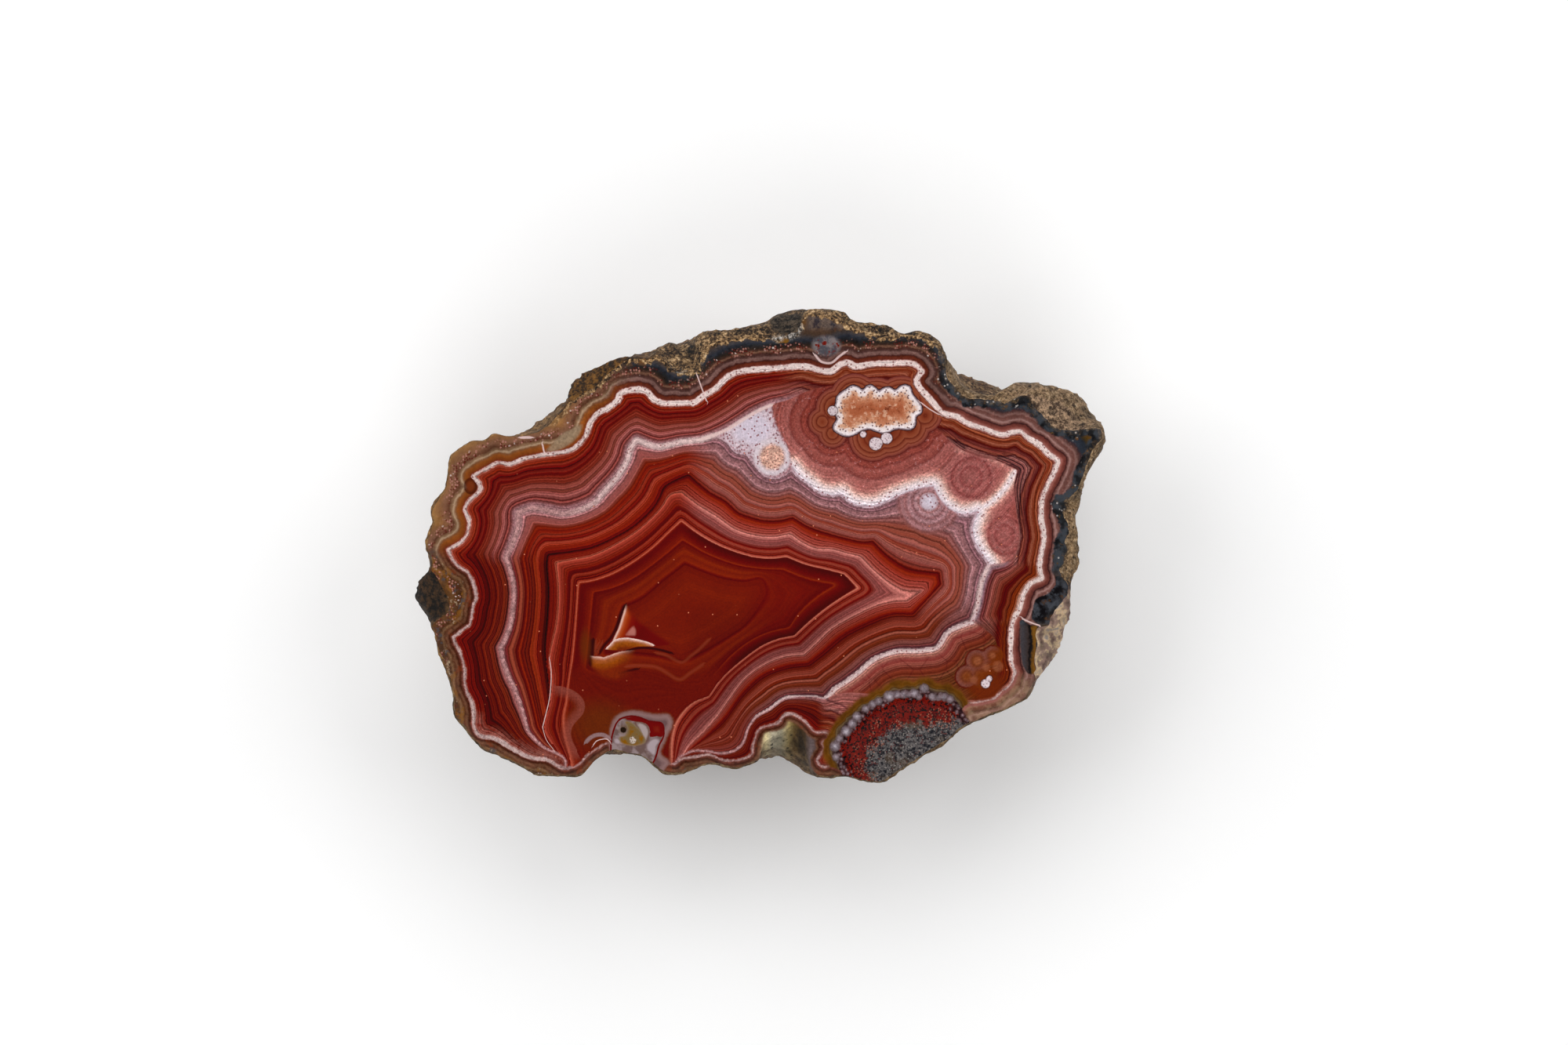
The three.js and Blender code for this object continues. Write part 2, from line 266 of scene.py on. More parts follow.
# The white rimmed cluster of spheres in the upper right, and the scalloped brown halo round it.
ISLAND = [
    (1057, 522), (1066, 517), (1067, 507), (1073, 501), (1080, 496), (1087, 492), (1095, 494),
    (1100, 498), (1104, 494), (1110, 491), (1117, 495), (1121, 499), (1127, 495), (1135, 494),
    (1142, 498), (1148, 493), (1155, 491), (1161, 494), (1163, 501), (1168, 508), (1173, 514),
    (1176, 521), (1174, 528), (1168, 531), (1168, 538), (1166, 545), (1159, 548), (1150, 547),
    (1143, 547), (1136, 550), (1128, 553), (1118, 550), (1108, 547), (1098, 550), (1092, 553),
    (1085, 556), (1077, 556), (1070, 553), (1063, 548), (1064, 541), (1068, 535), (1066, 530),
]
# The scallops that the brown halo is made of: centre x, centre y, radius.
HALO_SCALLOPS = [
    (1049, 538, 19), (1062, 553, 19), (1066, 520, 26), (1090, 508, 32), (1113, 558, 31),
    (1132, 545, 38), (1160, 545, 26), (1150, 515, 36), (1180, 530, 22), (1118, 515, 34),
]
# The mossy jasper at the lower right, inside its grey grape-like rim.
MOSS = [
    (1075, 990), (1063, 960), (1062, 950), (1068, 942), (1075, 930), (1083, 922), (1092, 912),
    (1100, 905), (1110, 898), (1118, 893), (1130, 888), (1140, 882), (1155, 880), (1168, 882),
    (1178, 876), (1185, 882), (1195, 885), (1205, 884), (1215, 890), (1223, 900), (1234, 915, K),
    (1245, 935), (1215, 985), (1170, 1015), (1110, 1020), (1085, 1015),
]
MOSS_CORE = [
    (1122, 1020), (1108, 985), (1108, 962), (1118, 945), (1135, 930), (1160, 922), (1185, 922),
    (1205, 920), (1240, 915), (1220, 965), (1160, 1010),
]
# Grey beads of the rim round the mossy jasper.
MOSS_BEADS = [
    (1066, 966, 6), (1065, 952, 8), (1071, 942, 6), (1079, 933, 8), (1087, 923, 7), (1093, 914, 7),
    (1104, 904, 6), (1113, 898, 6), (1121, 895, 6), (1134, 888, 8), (1144, 886, 6), (1152, 886, 6),
    (1159, 886, 5), (1166, 884, 7), (1172, 889, 5), (1179, 878, 7), (1189, 889, 6), (1197, 890, 5),
    (1204, 889, 6), (1212, 892, 6),
]
# The grey capped inclusion at the lower middle, its red ring and what lies in it.
CAP = [
    (776, 950, K), (777, 934), (781, 919), (789, 911), (799, 907), (812, 906), (826, 909), (840, 911),
    (851, 910), (858, 917), (858, 926), (853, 936), (848, 948), (843, 960), (856, 972, K), (838, 992),
    (800, 985), (778, 968),
]
RING = [
    (779, 958, K), (780, 942), (782, 934), (785, 925), (790, 918), (797, 915), (807, 913.5), (818, 916),
    (828, 920), (838, 921), (844, 922.5), (846.5, 928), (846.5, 939), (841, 950), (838, 960),
    (834, 972, K), (820, 980), (790, 968),
]
RED_FILL = [
    (796, 917), (803, 915), (811, 914.5), (819, 917), (828, 920.5), (838, 921.5), (844, 923),
    (846, 929), (845, 940), (838, 939), (829, 940), (829, 932), (826, 925), (818, 921), (808, 920),
]
CAP_LOBE = [
    (810, 921.5), (818, 921.5), (825, 925.5), (828, 932), (827, 940), (823, 947), (819, 941),
    (816, 932),
]
LOW_LOBE = [
    (824, 949), (829, 943), (836, 940), (842, 942), (843, 947), (839, 952), (838, 960), (835, 968),
    (829, 962), (823, 956),
]
LEFT_LOBE = [(782, 941), (788, 940), (794, 944), (799, 950), (790, 951), (783, 949)]
OCHRE_BLOB = [
    (797, 920), (805, 921), (813, 927), (820, 936), (824, 946), (816, 951), (801, 951), (791, 947),
    (789, 940), (797, 938), (800, 931),
]
# The flame in the lower left of the heart: each part, and the bright edge that it glows from.
FLAME_LINE = [(791, 813.8), (801, 813.2), (812, 815), (822, 817.5)]
FLAME_LEAF = [
    (778, 818, K), (784, 795), (792, 768, K), (803, 771, K), (812, 786), (826, 798), (842, 808),
    (856, 822, K), (838, 824, K), *reversed(FLAME_LINE),
]
LEAF_END = [(797, 766), (806, 779), (818, 791), (834, 802), (858, 818)]
LEAF_EDGE = [(781, 817), (784, 811), (787, 805), (790, 797), (793.5, 786), (796, 778), (798, 771)]
FLAME_ARCH = [
    (771, 828, K), (778, 821), (783, 815.5), *FLAME_LINE, (830, 820), (838, 824.5, K), (822, 824.5),
    (811, 825), (801, 828), (790, 829.5), (780, 829),
]
ARCH_EDGE = [(768, 830), (778, 821), (783, 815.5), *FLAME_LINE, (830, 820), (840, 825)]
FLAME_FAN = [
    (752, 828, K), (770, 828), (790, 824), (830, 822, K), (826, 846), (810, 862), (796, 868),
    (780, 869), (764, 864), (752, 852, K),
]
FAN_EDGE = [
    (752, 836), (763, 837.5), (770, 838), (777, 836), (784, 833), (792, 830.5), (806, 829), (822, 829),
    (840, 832),
]
FLAME_TUFT = [(797, 811, K), (802, 804), (808, 798, K), (811, 803), (811, 811, K)]
# The bright edge of a pinkish lobe in the lower left. It fades to the left.
LOBE_EDGE = [
    (716, 876), (727, 879), (737, 885), (744, 893), (746, 902), (743, 911), (736, 919), (730, 927),
    (728, 937), (731, 947), (736, 957),
]
# Dark glassy pockets in the right rind.
POCKETS = [
    [
        (1345, 727), (1354, 734), (1361, 748), (1362, 763), (1354, 770), (1344, 782),
        (1338, 800), (1328, 797), (1316, 790), (1318, 775), (1321, 765), (1336, 757),
        (1346, 746),
    ],
    [
        (1302, 790), (1312, 796), (1324, 800), (1322, 815), (1321, 830), (1319, 845),
        (1321, 859), (1311, 859), (1305, 850), (1302, 830), (1301, 810),
    ],
]

GREY_WEDGE = [
    (695, 576), (706, 564), (716, 553), (728, 547), (743, 541), (741, 551), (734, 561), (722, 570),
    (708, 576),
]
# Round features: centre x, centre y, radius.
WHITE_LOBES = [
    (1062, 524, 6), (1131, 559, 7), (1117, 566, 8), (1101, 554, 4), (1257, 872, 5.5),
    (1262, 865.5, 3.5),
]
PEACH_EYES = [(985, 583, 17)]
LILAC_EYES = [(963, 548, 19), (946, 553, 9)]
BROWN_ORBS = [(1246, 843, 14), (1266, 836, 12), (1233, 863, 14), (1250, 862, 14)]
INNER_ORBS = [(1258, 851, 6), (1242, 867, 6), (1247, 843, 6), (1273, 850, 8), (1266, 836, 5)]
CRYSTAL_KNOBS = [(873, 457, 18), (1008, 417, 14), (992, 424, 10)]

# Thin marks: points and half width.
PALE_MARKS = [
    ([(893, 561), *VEIN, (983, 517)], 2.2),
    ([(1174, 513), (1186, 522), (1198, 529)], 0.7),
    ([(889, 478), (895, 495), (901, 511)], 0.8),
    ([(692, 567), (694, 577)], 1.0),
    ([(1304, 789), (1312, 793), (1326, 798)], 1.0),
    ([(1040, 453), (1047, 461), (1060, 463), (1070, 455), (1078, 449)], 1.4),
    ([(665, 558), (677, 558)], 1.6),
    ([(701, 841), (703, 856), (701, 890), (696, 912), (692, 928)], 0.5),
    ([(692, 928), (697, 944), (706, 956)], 0.35),
    ([(757, 950), (761, 945), (768, 943), (774, 942.5), (778, 946)], 0.6),
]
FAINT_MARKS = [
    ([(838, 833), (850, 836), (861, 842), (870, 845), (881, 837), (892, 828), (904, 816)], 1.4),
    ([(800, 850), (813, 849), (837, 851), (850, 858), (867, 867), (881, 858), (896, 848)], 1.6),
    ([(768, 820), (764, 826), (762, 832)], 1.1),
    ([(760, 818), (759, 826), (759, 833)], 0.9),
]
DARK_MARKS = [
    ([(797, 773), (792, 783), (788.5, 794), (784, 805), (778, 815), (771, 823), (766, 831)], 2.4),
    ([(756, 818), (755, 832), (754, 846)], 4.0),
    ([(802, 829.5), (812, 827), (826, 826.5), (842, 829), (856, 833)], 1.8),
    ([(788, 860), (800, 856), (813, 853)], 1.6),
]
GREY_ARCH = [([(748, 946), (753, 941), (761, 937.5), (770, 937.5), (776, 941)], 3.2)]

# Fields of the face by the shape they measure the distance to.
SHAPES = {
    "granular": GRANULAR, "eyes": EYES, "island": ISLAND, "moss": MOSS, "moss_core": MOSS_CORE,
    "cap": CAP, "ring": RING, "red_fill": RED_FILL, "cap_lobe": CAP_LOBE, "ochre_blob": OCHRE_BLOB,
    "leaf": FLAME_LEAF, "arch": FLAME_ARCH, "fan": FLAME_FAN, "tuft": FLAME_TUFT, "wedge": GREY_WEDGE,
}
DISCS = {
    "halo": HALO_SCALLOPS, "beads": MOSS_BEADS, "white_lobes": WHITE_LOBES, "lilac_eyes": LILAC_EYES,
    "peach_eyes": PEACH_EYES, "orbs": BROWN_ORBS, "inner_orbs": INNER_ORBS,
}
EDGES = {
    "leaf_edge": LEAF_EDGE, "leaf_end": LEAF_END, "arch_edge": ARCH_EDGE, "fan_edge": FAN_EDGE,
}
MARKS = {
    "pale_marks": PALE_MARKS, "faint_marks": FAINT_MARKS, "dark_marks": DARK_MARKS,
    "grey_arch": GREY_ARCH,
}
# Distance to a spot: x, y, and how far a square counts across and down.
SPOTS = {
    "crystals": (807, 944, 1, 1),
    "ringed_eye": (1185, 640, 1, 1),
    "pink_eye": (1239, 609, 1, 1),
    "lower_pink_eye": (1281, 683, 1.15, 1),
    "pit": (795, 931, 1, 1),
    "bubble": (1054, 441, 1 / 19, 1 / 14),
    "amber_patch": (996, 433, 1 / 12, 1 / 5),
    "brown_spot": (600, 620, 1, 0.8),
}
# Soft patches round a spot: the same, then where the patch ends and where it is whole.
FACE_PATCHES = {
    "brown_glow": (765, 925, 1, 1.3, 60, 12),
    "amber_strip": (747, 824, 1, 0.35, 11, 2),
    "orb_bed": (1256, 872, 1, 1, 32, 14),
    "notch": (1008, 955, 1, 1.1, 52, 36),
}
ROCK_PATCHES = {
    "rock_bump": (546, 758, 1, 0.8, 46, 22),
    "rock_notch": (1003, 955, 1, 1, 60, 30),
    "rock_dark": (1003, 412, 1, 1.3, 26, 16),
}
# Areas with soft borders: for each border its axis, where it starts and where it is whole.
AREAS = {
    "left": (("x", 900, 850),),
    "west": (("x", 800, 700),),
    "east": (("x", 1170, 1230),),
    "far_east": (("x", 1200, 1240),),
    "low": (("y", 690, 725),),
    "low_side": (("y", 830, 930),),
    "low_end": (("y", 850, 900),),
    "low_left": (("y", 870, 900), ("x", 730, 690)),
    "thin_right": (("y", 840, 875), ("x", 1190, 1215)),
    "foot": (("y", 880, 900), ("x", 1062, 1040)),
    "top_right": (("x", 900, 925), ("y", 730, 712)),
}
# The same for areas that the materials read, on the face and then on the rock.
FACE_AREAS = {
    "outer_east_share": (("x", 985, 1030),),
    "outer_right_share": (("y", 714, 726), ("x", 1225, 1240)),
    "outer_low_east_share": (("y", 786, 800), ("x", 1200, 1215)),
    "low_right": (("y", 770, 800), ("x", 1005, 1022)),
    "deep_low": (("y", 755, 800), ("x", 868, 890)),
    "lower_field": (("y", 838, 868),),
    "heart_east": (("x", 935, 1000),),
    "foot_dark": (("y", 885, 925), ("x", 1010, 940), ("x", 820, 860)),
    "rind_west": (("x", 815, 745), ("y", 725, 690)),
    "rind_low": (("y", 690, 725), ("x", 1240, 1200)),
    "rind_east": (("x", 1190, 1235),),
    "tan_rind": (("y", 850, 880), ("x", 1195, 1225)),
    "glassy": (("x", 1185, 1205), ("y", 745, 725)),
    "crusty": (("x", 680, 740), ("y", 745, 725), ("y", 620, 560)),
    "slate_streaks": (("x", 1024, 1034), ("x", 1092, 1080), ("y", 424, 416)),
    "glow": (("x", 760, 700), ("y", 740, 700)),
    "slits": (("x", 1200, 1220), ("y", 690, 650)),
    "haze": (("y", 895, 930), ("x", 760, 730)),
    "fan_fade": (("x", 812, 782),),
    "lower_pocket": (("y", 794, 800),),
}
ROCK_AREAS = {
    "rock_glassy": (("x", 1195, 1215), ("y", 745, 725)),
    "rock_pearl": (("x", 1300, 1330), ("y", 740, 770), ("y", 900, 870)),
    "rock_gravel": (("x", 1275, 1300), ("y", 570, 548)),
    "rock_skin": (("x", 850, 820), ("x", 690, 715), ("y", 560, 520)),
    "rock_low": (("y", 840, 900),),
    "rock_west": (("x", 760, 640),),
}
# Lines that lean: a spot on the line, the way across it, where the change starts and ends.
EAST_CHANGE = ((0, 640), (1, 0.2), 858, 908)
ORB_CHANGE = ((1222, 830), (0.8, 0.5), 28, 46)
# Threads along the bands: their number on each of the nested lines.
THREAD_LEVELS = (200, 260, 278, 312, 346, 376, 406)


def sheet_to_row(points):
    """Sheet points as metres in the row frame."""
    away = np.asarray(points, float) - SHEET_MIDDLE
    return away * SQUARE * np.array([1.0, -1.0])


def smooth_run(run):
    """A smooth curve through one run of given points, with a step of about 3 squares."""
    run = np.array(run, float)
    if len(run) == 2:
        return run
    time = np.concatenate(([0], np.cumsum(np.sqrt(np.linalg.norm(np.diff(run, axis=0), axis=1)))))
    slope = np.gradient(run, time, axis=0)
    pieces = []
    for i in range(len(run) - 1):
        span = time[i + 1] - time[i]
        steps = max(2, round(np.linalg.norm(run[i + 1] - run[i]) / 3))
        s = np.linspace(0, 1, steps, endpoint=False)[:, None]
        pieces.append(
            (1 + 2 * s) * (1 - s) ** 2 * run[i]
            + s * (1 - s) ** 2 * span * slope[i]
            + s**2 * (3 - 2 * s) * run[i + 1]
            + s**2 * (s - 1) * span * slope[i + 1]
        )
    pieces.append(run[-1:])
    return np.concatenate(pieces)


def smooth_line(points, closed=True):
    """A smooth line through given points that keeps its marked corners sharp."""
    places = [point[:2] for point in points]
    corners = [i for i, point in enumerate(points) if len(point) == 3]
    if not closed:
        return smooth_run(places)
    if not corners:
        lead = 3
        around = places[-lead:] + places + places[: lead + 1]
        curve = smooth_run(around)
        first = int(np.argmin(np.linalg.norm(curve - np.array(places[0], float), axis=1)))
        tail = curve[first + 1 :]
        last = first + 1 + int(np.argmin(np.linalg.norm(tail - np.array(places[0], float), axis=1)))
        return np.concatenate((curve[first:last], curve[first : first + 1]))
    start = corners[0]
    places = places[start:] + places[: start + 1]
    corners = [i - start for i in corners] + [len(places) - 1]
    runs = [smooth_run(places[a : b + 1]) for a, b in zip(corners, corners[1:])]
    return np.concatenate([run[:-1] for run in runs] + [runs[-1][-1:]])


def distance(points, line):
    """Distance from each point to a line of straight pieces."""
    line = np.asarray(line, np.float32)
    points = np.asarray(points, np.float32)
    starts = line[:-1]
    steps = line[1:] - starts
    lengths = np.maximum((steps**2).sum(1), 1e-6)
    best = np.empty(len(points), np.float32)
    chunk = max(1, 3_000_000 // len(starts))
    for first in range(0, len(points), chunk):
        part = points[first : first + chunk]
        dx = part[:, 0, None] - starts[None, :, 0]
        dy = part[:, 1, None] - starts[None, :, 1]
        share = np.clip((dx * steps[:, 0] + dy * steps[:, 1]) / lengths, 0, 1)
        gap = (dx - share * steps[:, 0]) ** 2 + (dy - share * steps[:, 1]) ** 2
        best[first : first + chunk] = gap.min(1)
    return np.sqrt(best)


def inside(points, loop):
    """True for each point that a closed line goes round."""
    x, y = points[:, 0], points[:, 1]
    found = np.zeros(len(points), bool)
    for (x0, y0), (x1, y1) in zip(loop[:-1], loop[1:]):
        if y0 == y1:
            continue
        spans = (y0 > y) != (y1 > y)
        found ^= spans & (x < x0 + (y - y0) * (x1 - x0) / (y1 - y0))
    return found


def signed(points, drawn):
    """Distance to a closed line, above zero inside it."""
    loop = smooth_line(drawn)
    return np.where(inside(points, loop), 1, -1) * distance(points, loop)


def lean(points, line):
    """Distance to an open line, above zero to the right of the way it is drawn."""
    line = np.asarray(line, float)
    best = np.full(len(points), np.inf)
    sign = np.ones(len(points))
    for start, end in zip(line[:-1], line[1:]):
        step = end - start
        away = points - start
        share = np.clip(away @ step / (step @ step), 0, 1)
        gap = np.linalg.norm(away - share[:, None] * step, axis=1)
        nearer = gap < best
        side = np.where(step[0] * away[:, 1] - step[1] * away[:, 0] < 0, -1, 1)
        best = np.where(nearer, gap, best)
        sign = np.where(nearer, side, sign)
    return best * sign


def marks_fields(points, marks):
    """Distance to the nearest mark, with a sign and in half widths, and without in squares."""
    leans = np.array([lean(points, smooth_run(line)) for line, half in marks])
    halves = np.array([half for line, half in marks])[:, None]
    nearest = np.abs(leans / halves).argmin(0)
    picked = leans[nearest, np.arange(len(points))]
    return picked / halves[nearest, 0], np.abs(picked)


def discs_field(points, discs):
    """Distance into the nearest disc from its edge, below zero outside."""
    fields = [radius - np.hypot(points[:, 0] - x, points[:, 1] - y) for x, y, radius in discs]
    return np.max(fields, axis=0)


def smoothstep(value, low, high):
    share = np.clip((value - low) / (high - low), 0, 1)
    return share * share * (3 - 2 * share)


# The shape

def reach(line, bearings):
    """Farthest crossing of each bearing from the hub with a line, or infinity if it misses."""
    away = np.asarray(line, float) - HUB
    along = np.column_stack((np.cos(bearings), -np.sin(bearings)))
    across = np.column_stack((-along[:, 1], along[:, 0]))
    side = away @ across.T
    forward = away @ along.T
    start, end = side[:-1], side[1:]
    crosses = (start * end <= 0) & (start != end)
    share = np.where(crosses, start / np.where(crosses, start - end, 1), 0)
    far = forward[:-1] + share * (forward[1:] - forward[:-1])
    far = np.where(crosses & (far > 0), far, -np.inf).max(0)
    return np.where(np.isfinite(far), far, np.inf)


def column_bearings(silhouette):
    """Bearings spaced evenly along the silhouette, counter-clockwise."""
    run = np.concatenate(([0], np.cumsum(np.linalg.norm(np.diff(silhouette, axis=0), axis=1))))
    spots = np.linspace(0, run[-1], COLUMNS, endpoint=False)
    x = np.interp(spots, run, silhouette[:, 0]) - HUB[0]
    y = HUB[1] - np.interp(spots, run, silhouette[:, 1])
    return np.sort(np.arctan2(y, x))


def cell_value(x, y, z):
    wave = np.sin(x * 12.9898 + y * 78.233 + z * 37.719) * 43758.5453
    return wave - np.floor(wave)


def lumps(points, spacing):
    """Rounded lumps over scattered centres, from 0 to 1. Points are in millimetres."""
    cell = points / spacing
    base = np.floor(cell)
    nearest = np.full(points.shape[:-1], np.inf)
    steps = (-1, 0, 1)
    for dx in steps:
        for dy in steps:
            for dz in steps:
                x, y, z = np.moveaxis(base + (dx, dy, dz), -1, 0)
                centre = np.stack(
                    (x + cell_value(x, y, z), y + cell_value(z, x, y), z + cell_value(y, z, x)), -1
                )
                nearest = np.minimum(nearest, np.linalg.norm(centre - cell, axis=-1))
    return np.maximum(0, 1 - nearest**2)


def rock(points, layers):
    """Height of several sizes of lumps at once, in millimetres, about zero on average."""
    return sum(height * (lumps(points, spacing) - 0.75) for height, spacing in layers)


def column_reaches():
    """The bearing of each column, and how far out its polished edge, its widest line, the evened
    outline of the back and the flat spot lie, in millimetres."""
    silhouette = smooth_line(SILHOUETTE)
    bearings = column_bearings(silhouette)
    widest = reach(silhouette, bearings) * SQUARE_MM
    face = widest - BEVEL
    for rim in ROUGH_RIMS:
        face = np.minimum(face, reach(smooth_line(rim, closed=False), bearings) * SQUARE_MM)
    edge = np.column_stack((face * np.cos(bearings), face * np.sin(bearings), 0 * face))
    face = face + np.minimum(rock(edge, JAGS), BEVEL - 0.1)
    turns = np.linspace(-EVENED_TURN, EVENED_TURN, 13)
    evened = np.mean([reach(silhouette, bearings + turn) * SQUARE_MM for turn in turns], axis=0)
    foot = 1 / np.hypot(np.cos(bearings) / (FOOT_LENGTH / 2), np.sin(bearings) / (FOOT_WIDTH / 2))
    return bearings, face, widest, evened, foot


def rim_rings(face, rim, rim_depth):
    """The eased edge and the rough ledges, from the polished edge out to the widest line."""
    rings = []
    for i in range(RIM_RINGS + 1):
        share = i / RIM_RINGS
        out = face + rim * math.sin(share * math.pi / 2)
        roughness = share * np.minimum(1, rim / 3) * 0.5
        grit = share * np.clip(rim / 1.5 - 0.2, 0.55, 1)
        rings.append((out, rim_depth * share, 0.0, roughness, grit))
    return rings


def back_rings(widest, evened, foot, rim_depth):
    """The round back, from the widest line in to the flat spot."""
    last_cosine = math.cos(BACK_TURN) ** BACK_FULLNESS
    rings = []
    for i in range(1, BACK_RINGS + 1):
        share = i / BACK_RINGS
        angle = BACK_TURN * share
        fall = (math.sin(angle) / math.sin(BACK_TURN)) ** BACK_FULLNESS
        inward = (math.cos(angle) ** BACK_FULLNESS - last_cosine) / (1 - last_cosine)
        fade = smoothstep(share, 0, OUTLINE_FADE)
        outline = widest + (evened - widest) * fade
        start = rim_depth + (BACK_START_DEPTH - rim_depth) * fade
        depth = start + (TOP * 1000 - start) * fall
        roughness = smoothstep(share, 0, 0.2) * smoothstep(1 - share, 0, 0.12)
        grit = 0.35 + 0.65 * smoothstep(share, 0, 0.15)
        grit = grit * smoothstep(1 - share, 0, 0.05)
        rings.append((foot + (outline - foot) * inward, depth, angle, roughness, grit))
    return rings


def side_points():
    """Rings of points in millimetres from the polished edge down to the flat spot."""
    bearings, face, widest, evened, foot = column_reaches()
    rim = widest - face
    rim_depth = BEVEL_DEPTH + RIM_SLOPE * (rim - BEVEL)
    rings = rim_rings(face, rim, rim_depth) + back_rings(widest, evened, foot, rim_depth)

    middle = sheet_to_row(HUB) * 1000
    across, along = np.cos(bearings), np.sin(bearings)
    points = []
    hollows = []
    ceiling = np.full(COLUMNS, np.inf)
    for out, depth, tilt, roughness, grit in rings:
        level = TOP * 1000 - depth
        ring = np.column_stack((middle[0] + out * across, middle[1] + out * along, level))
        down = np.full(COLUMNS, -math.sin(tilt))
        outward = np.column_stack((across * math.cos(tilt), along * math.cos(tilt), down))
        gravel = rock(ring, GRAVEL)
        # How deep a point lies in the gravel's hollows, which the rough material darkens as painted
        # shade.
        hollows.append(np.clip(0.5 - gravel, 0, 1))
        bump = rock(ring, LUMPS) * roughness + gravel * grit
        ring = ring + outward * bump[:, None]
        if points:
            ring[:, 2] = np.minimum(ring[:, 2], ceiling - RING_GAP)
        ceiling = ring[:, 2]
        points.append(ring)
    points[-1][:, 2] = 0
    for upper, lower in zip(points[-2:0:-1], points[:0:-1]):
        upper[:, 2] = np.maximum(upper[:, 2], lower[:, 2] + RING_GAP)
    return np.array(points), np.array(hollows)


def face_points(rim):
    """The polished face as points and triangles whose first points are the rim's."""
    low, high = rim.min(0), rim.max(0)
    step = FACE_SPACING * SQUARE
    rows = np.arange(low[1], high[1], step * math.sqrt(0.75))
    grid = []
    for i, y in enumerate(rows):
        x = np.arange(low[0] + (i % 2) * step / 2, high[0], step)
        grid.append(np.column_stack((x, np.full(len(x), y))))
    grid = np.concatenate(grid)
    loop = np.concatenate((rim, rim[:1]))
    room = inside(grid, loop)
    grid = grid[room]
    grid = grid[distance(grid / SQUARE, loop / SQUARE) > FACE_SPACING * 0.6]
    count = len(rim)
    places = np.concatenate((rim, grid))
    edges = [(i, (i + 1) % count) for i in range(count)]
    # Lengths near 1 keep the triangulation's rounding small.
    made = delaunay_2d_cdt((places * 100).tolist(), edges, [], 0, 1e-9, False)
    points = np.array([tuple(v) for v in made[0]]) / 100
    triangles = np.array(made[2])
    return points, triangles[inside(points[triangles].mean(1), loop)]


def side_corners(ring_count):
    """The ring and the column of each corner of the side's triangles."""
    ring, column = np.meshgrid(np.arange(ring_count - 1), np.arange(COLUMNS), indexing="ij")
    ring, column = ring.ravel(), column.ravel()
    low_ring, next_column = ring + 1, column + 1
    lower = np.stack((ring, low_ring, low_ring), 1), np.stack((column, column, next_column), 1)
    upper = np.stack((ring, low_ring, ring), 1), np.stack((column, next_column, next_column), 1)
    return np.concatenate((lower[0], upper[0])), np.concatenate((lower[1], upper[1]))


def baking_map(flat, face_triangles, rings, columns, ring_count, foot_away):
    """The face across the top of the square, the side in a strip under it, the foot beside that."""
    low, high = flat.min(0), flat.max(0)
    scale = (1 - 2 * MAP_MARGIN) / (high[0] - low[0])
    face_map = (flat - (low[0], high[1])) * scale + (MAP_MARGIN, 1 - MAP_MARGIN)
    strip_top = 1 - MAP_MARGIN - (high[1] - low[1]) * scale - STRIP_GAP
    u = MAP_MARGIN + STRIP_WIDTH * columns / COLUMNS
    v = strip_top + (MAP_MARGIN - strip_top) * rings / (ring_count - 1)
    foot_map = foot_away * FOOT_MAP_SCALE + FOOT_MAP_PLACE
    return np.concatenate((face_map[face_triangles], np.stack((u, v), -1), foot_map))


def stone_mesh():
    """The whole stone as one closed mesh, with its points, how many of them are the face's, and
    how deep in a hollow of the rock each one lies, which sets the painted shade of the rock there."""
    rings, hollows = side_points()
    rings = rings / 1000
    ring_count = len(rings)
    flat, face_triangles = face_points(rings[0][:, :2])
    face_count = len(flat)
    face = np.column_stack((flat, np.full(face_count, TOP)))
    middle = np.append(sheet_to_row(HUB), 0)[None]
    points = np.concatenate((face, rings[1:].reshape(-1, 3), middle))

    # Numbers of the side's points by ring and column. Ring 0 is the face's own rim.
    column = np.arange(COLUMNS)
    lower = face_count + np.arange((ring_count - 1) * COLUMNS).reshape(-1, COLUMNS)
    number = np.vstack((column, lower))
    corner_rings, corner_columns = side_corners(ring_count)
    side_triangles = number[corner_rings, corner_columns % COLUMNS]
    last = number[-1]
    foot = np.column_stack((np.full(COLUMNS, len(points) - 1), np.roll(last, -1), last))
    triangles = np.concatenate((face_triangles, side_triangles, foot))

    mesh = bpy.data.meshes.new("agate_half_stone")
    mesh.from_pydata(points.tolist(), [], triangles.tolist())
    foot_away = points[foot, :2] - middle[0, :2]
    maps = baking_map(flat, face_triangles, corner_rings, corner_columns, ring_count, foot_away)
    baking = mesh.uv_layers.new(name="OFBake")
    baking.data.foreach_set("uv", maps.reshape(-1).astype(np.float32))
    side = np.arange(len(triangles)) >= len(face_triangles)
    mesh.polygons.foreach_set("use_smooth", side)
    mesh.polygons.foreach_set("material_index", side.astype(np.int32))
    # Depth in the rock's hollows, which sets its painted shade; the face has none.
    hollow = np.concatenate((np.zeros(face_count), hollows[1:].ravel(), [0.5]))
    return mesh, points, face_count, hollow


def add_field(mesh, name, values):
    layer = mesh.attributes.new(name, "FLOAT", "POINT")
    layer.data.foreach_set("value", np.asarray(values, np.float32))


def sheet_places(points):
    """Where points of the row frame lie on the sheet."""
    return points[:, :2] / SQUARE * (1, -1) + SHEET_MIDDLE


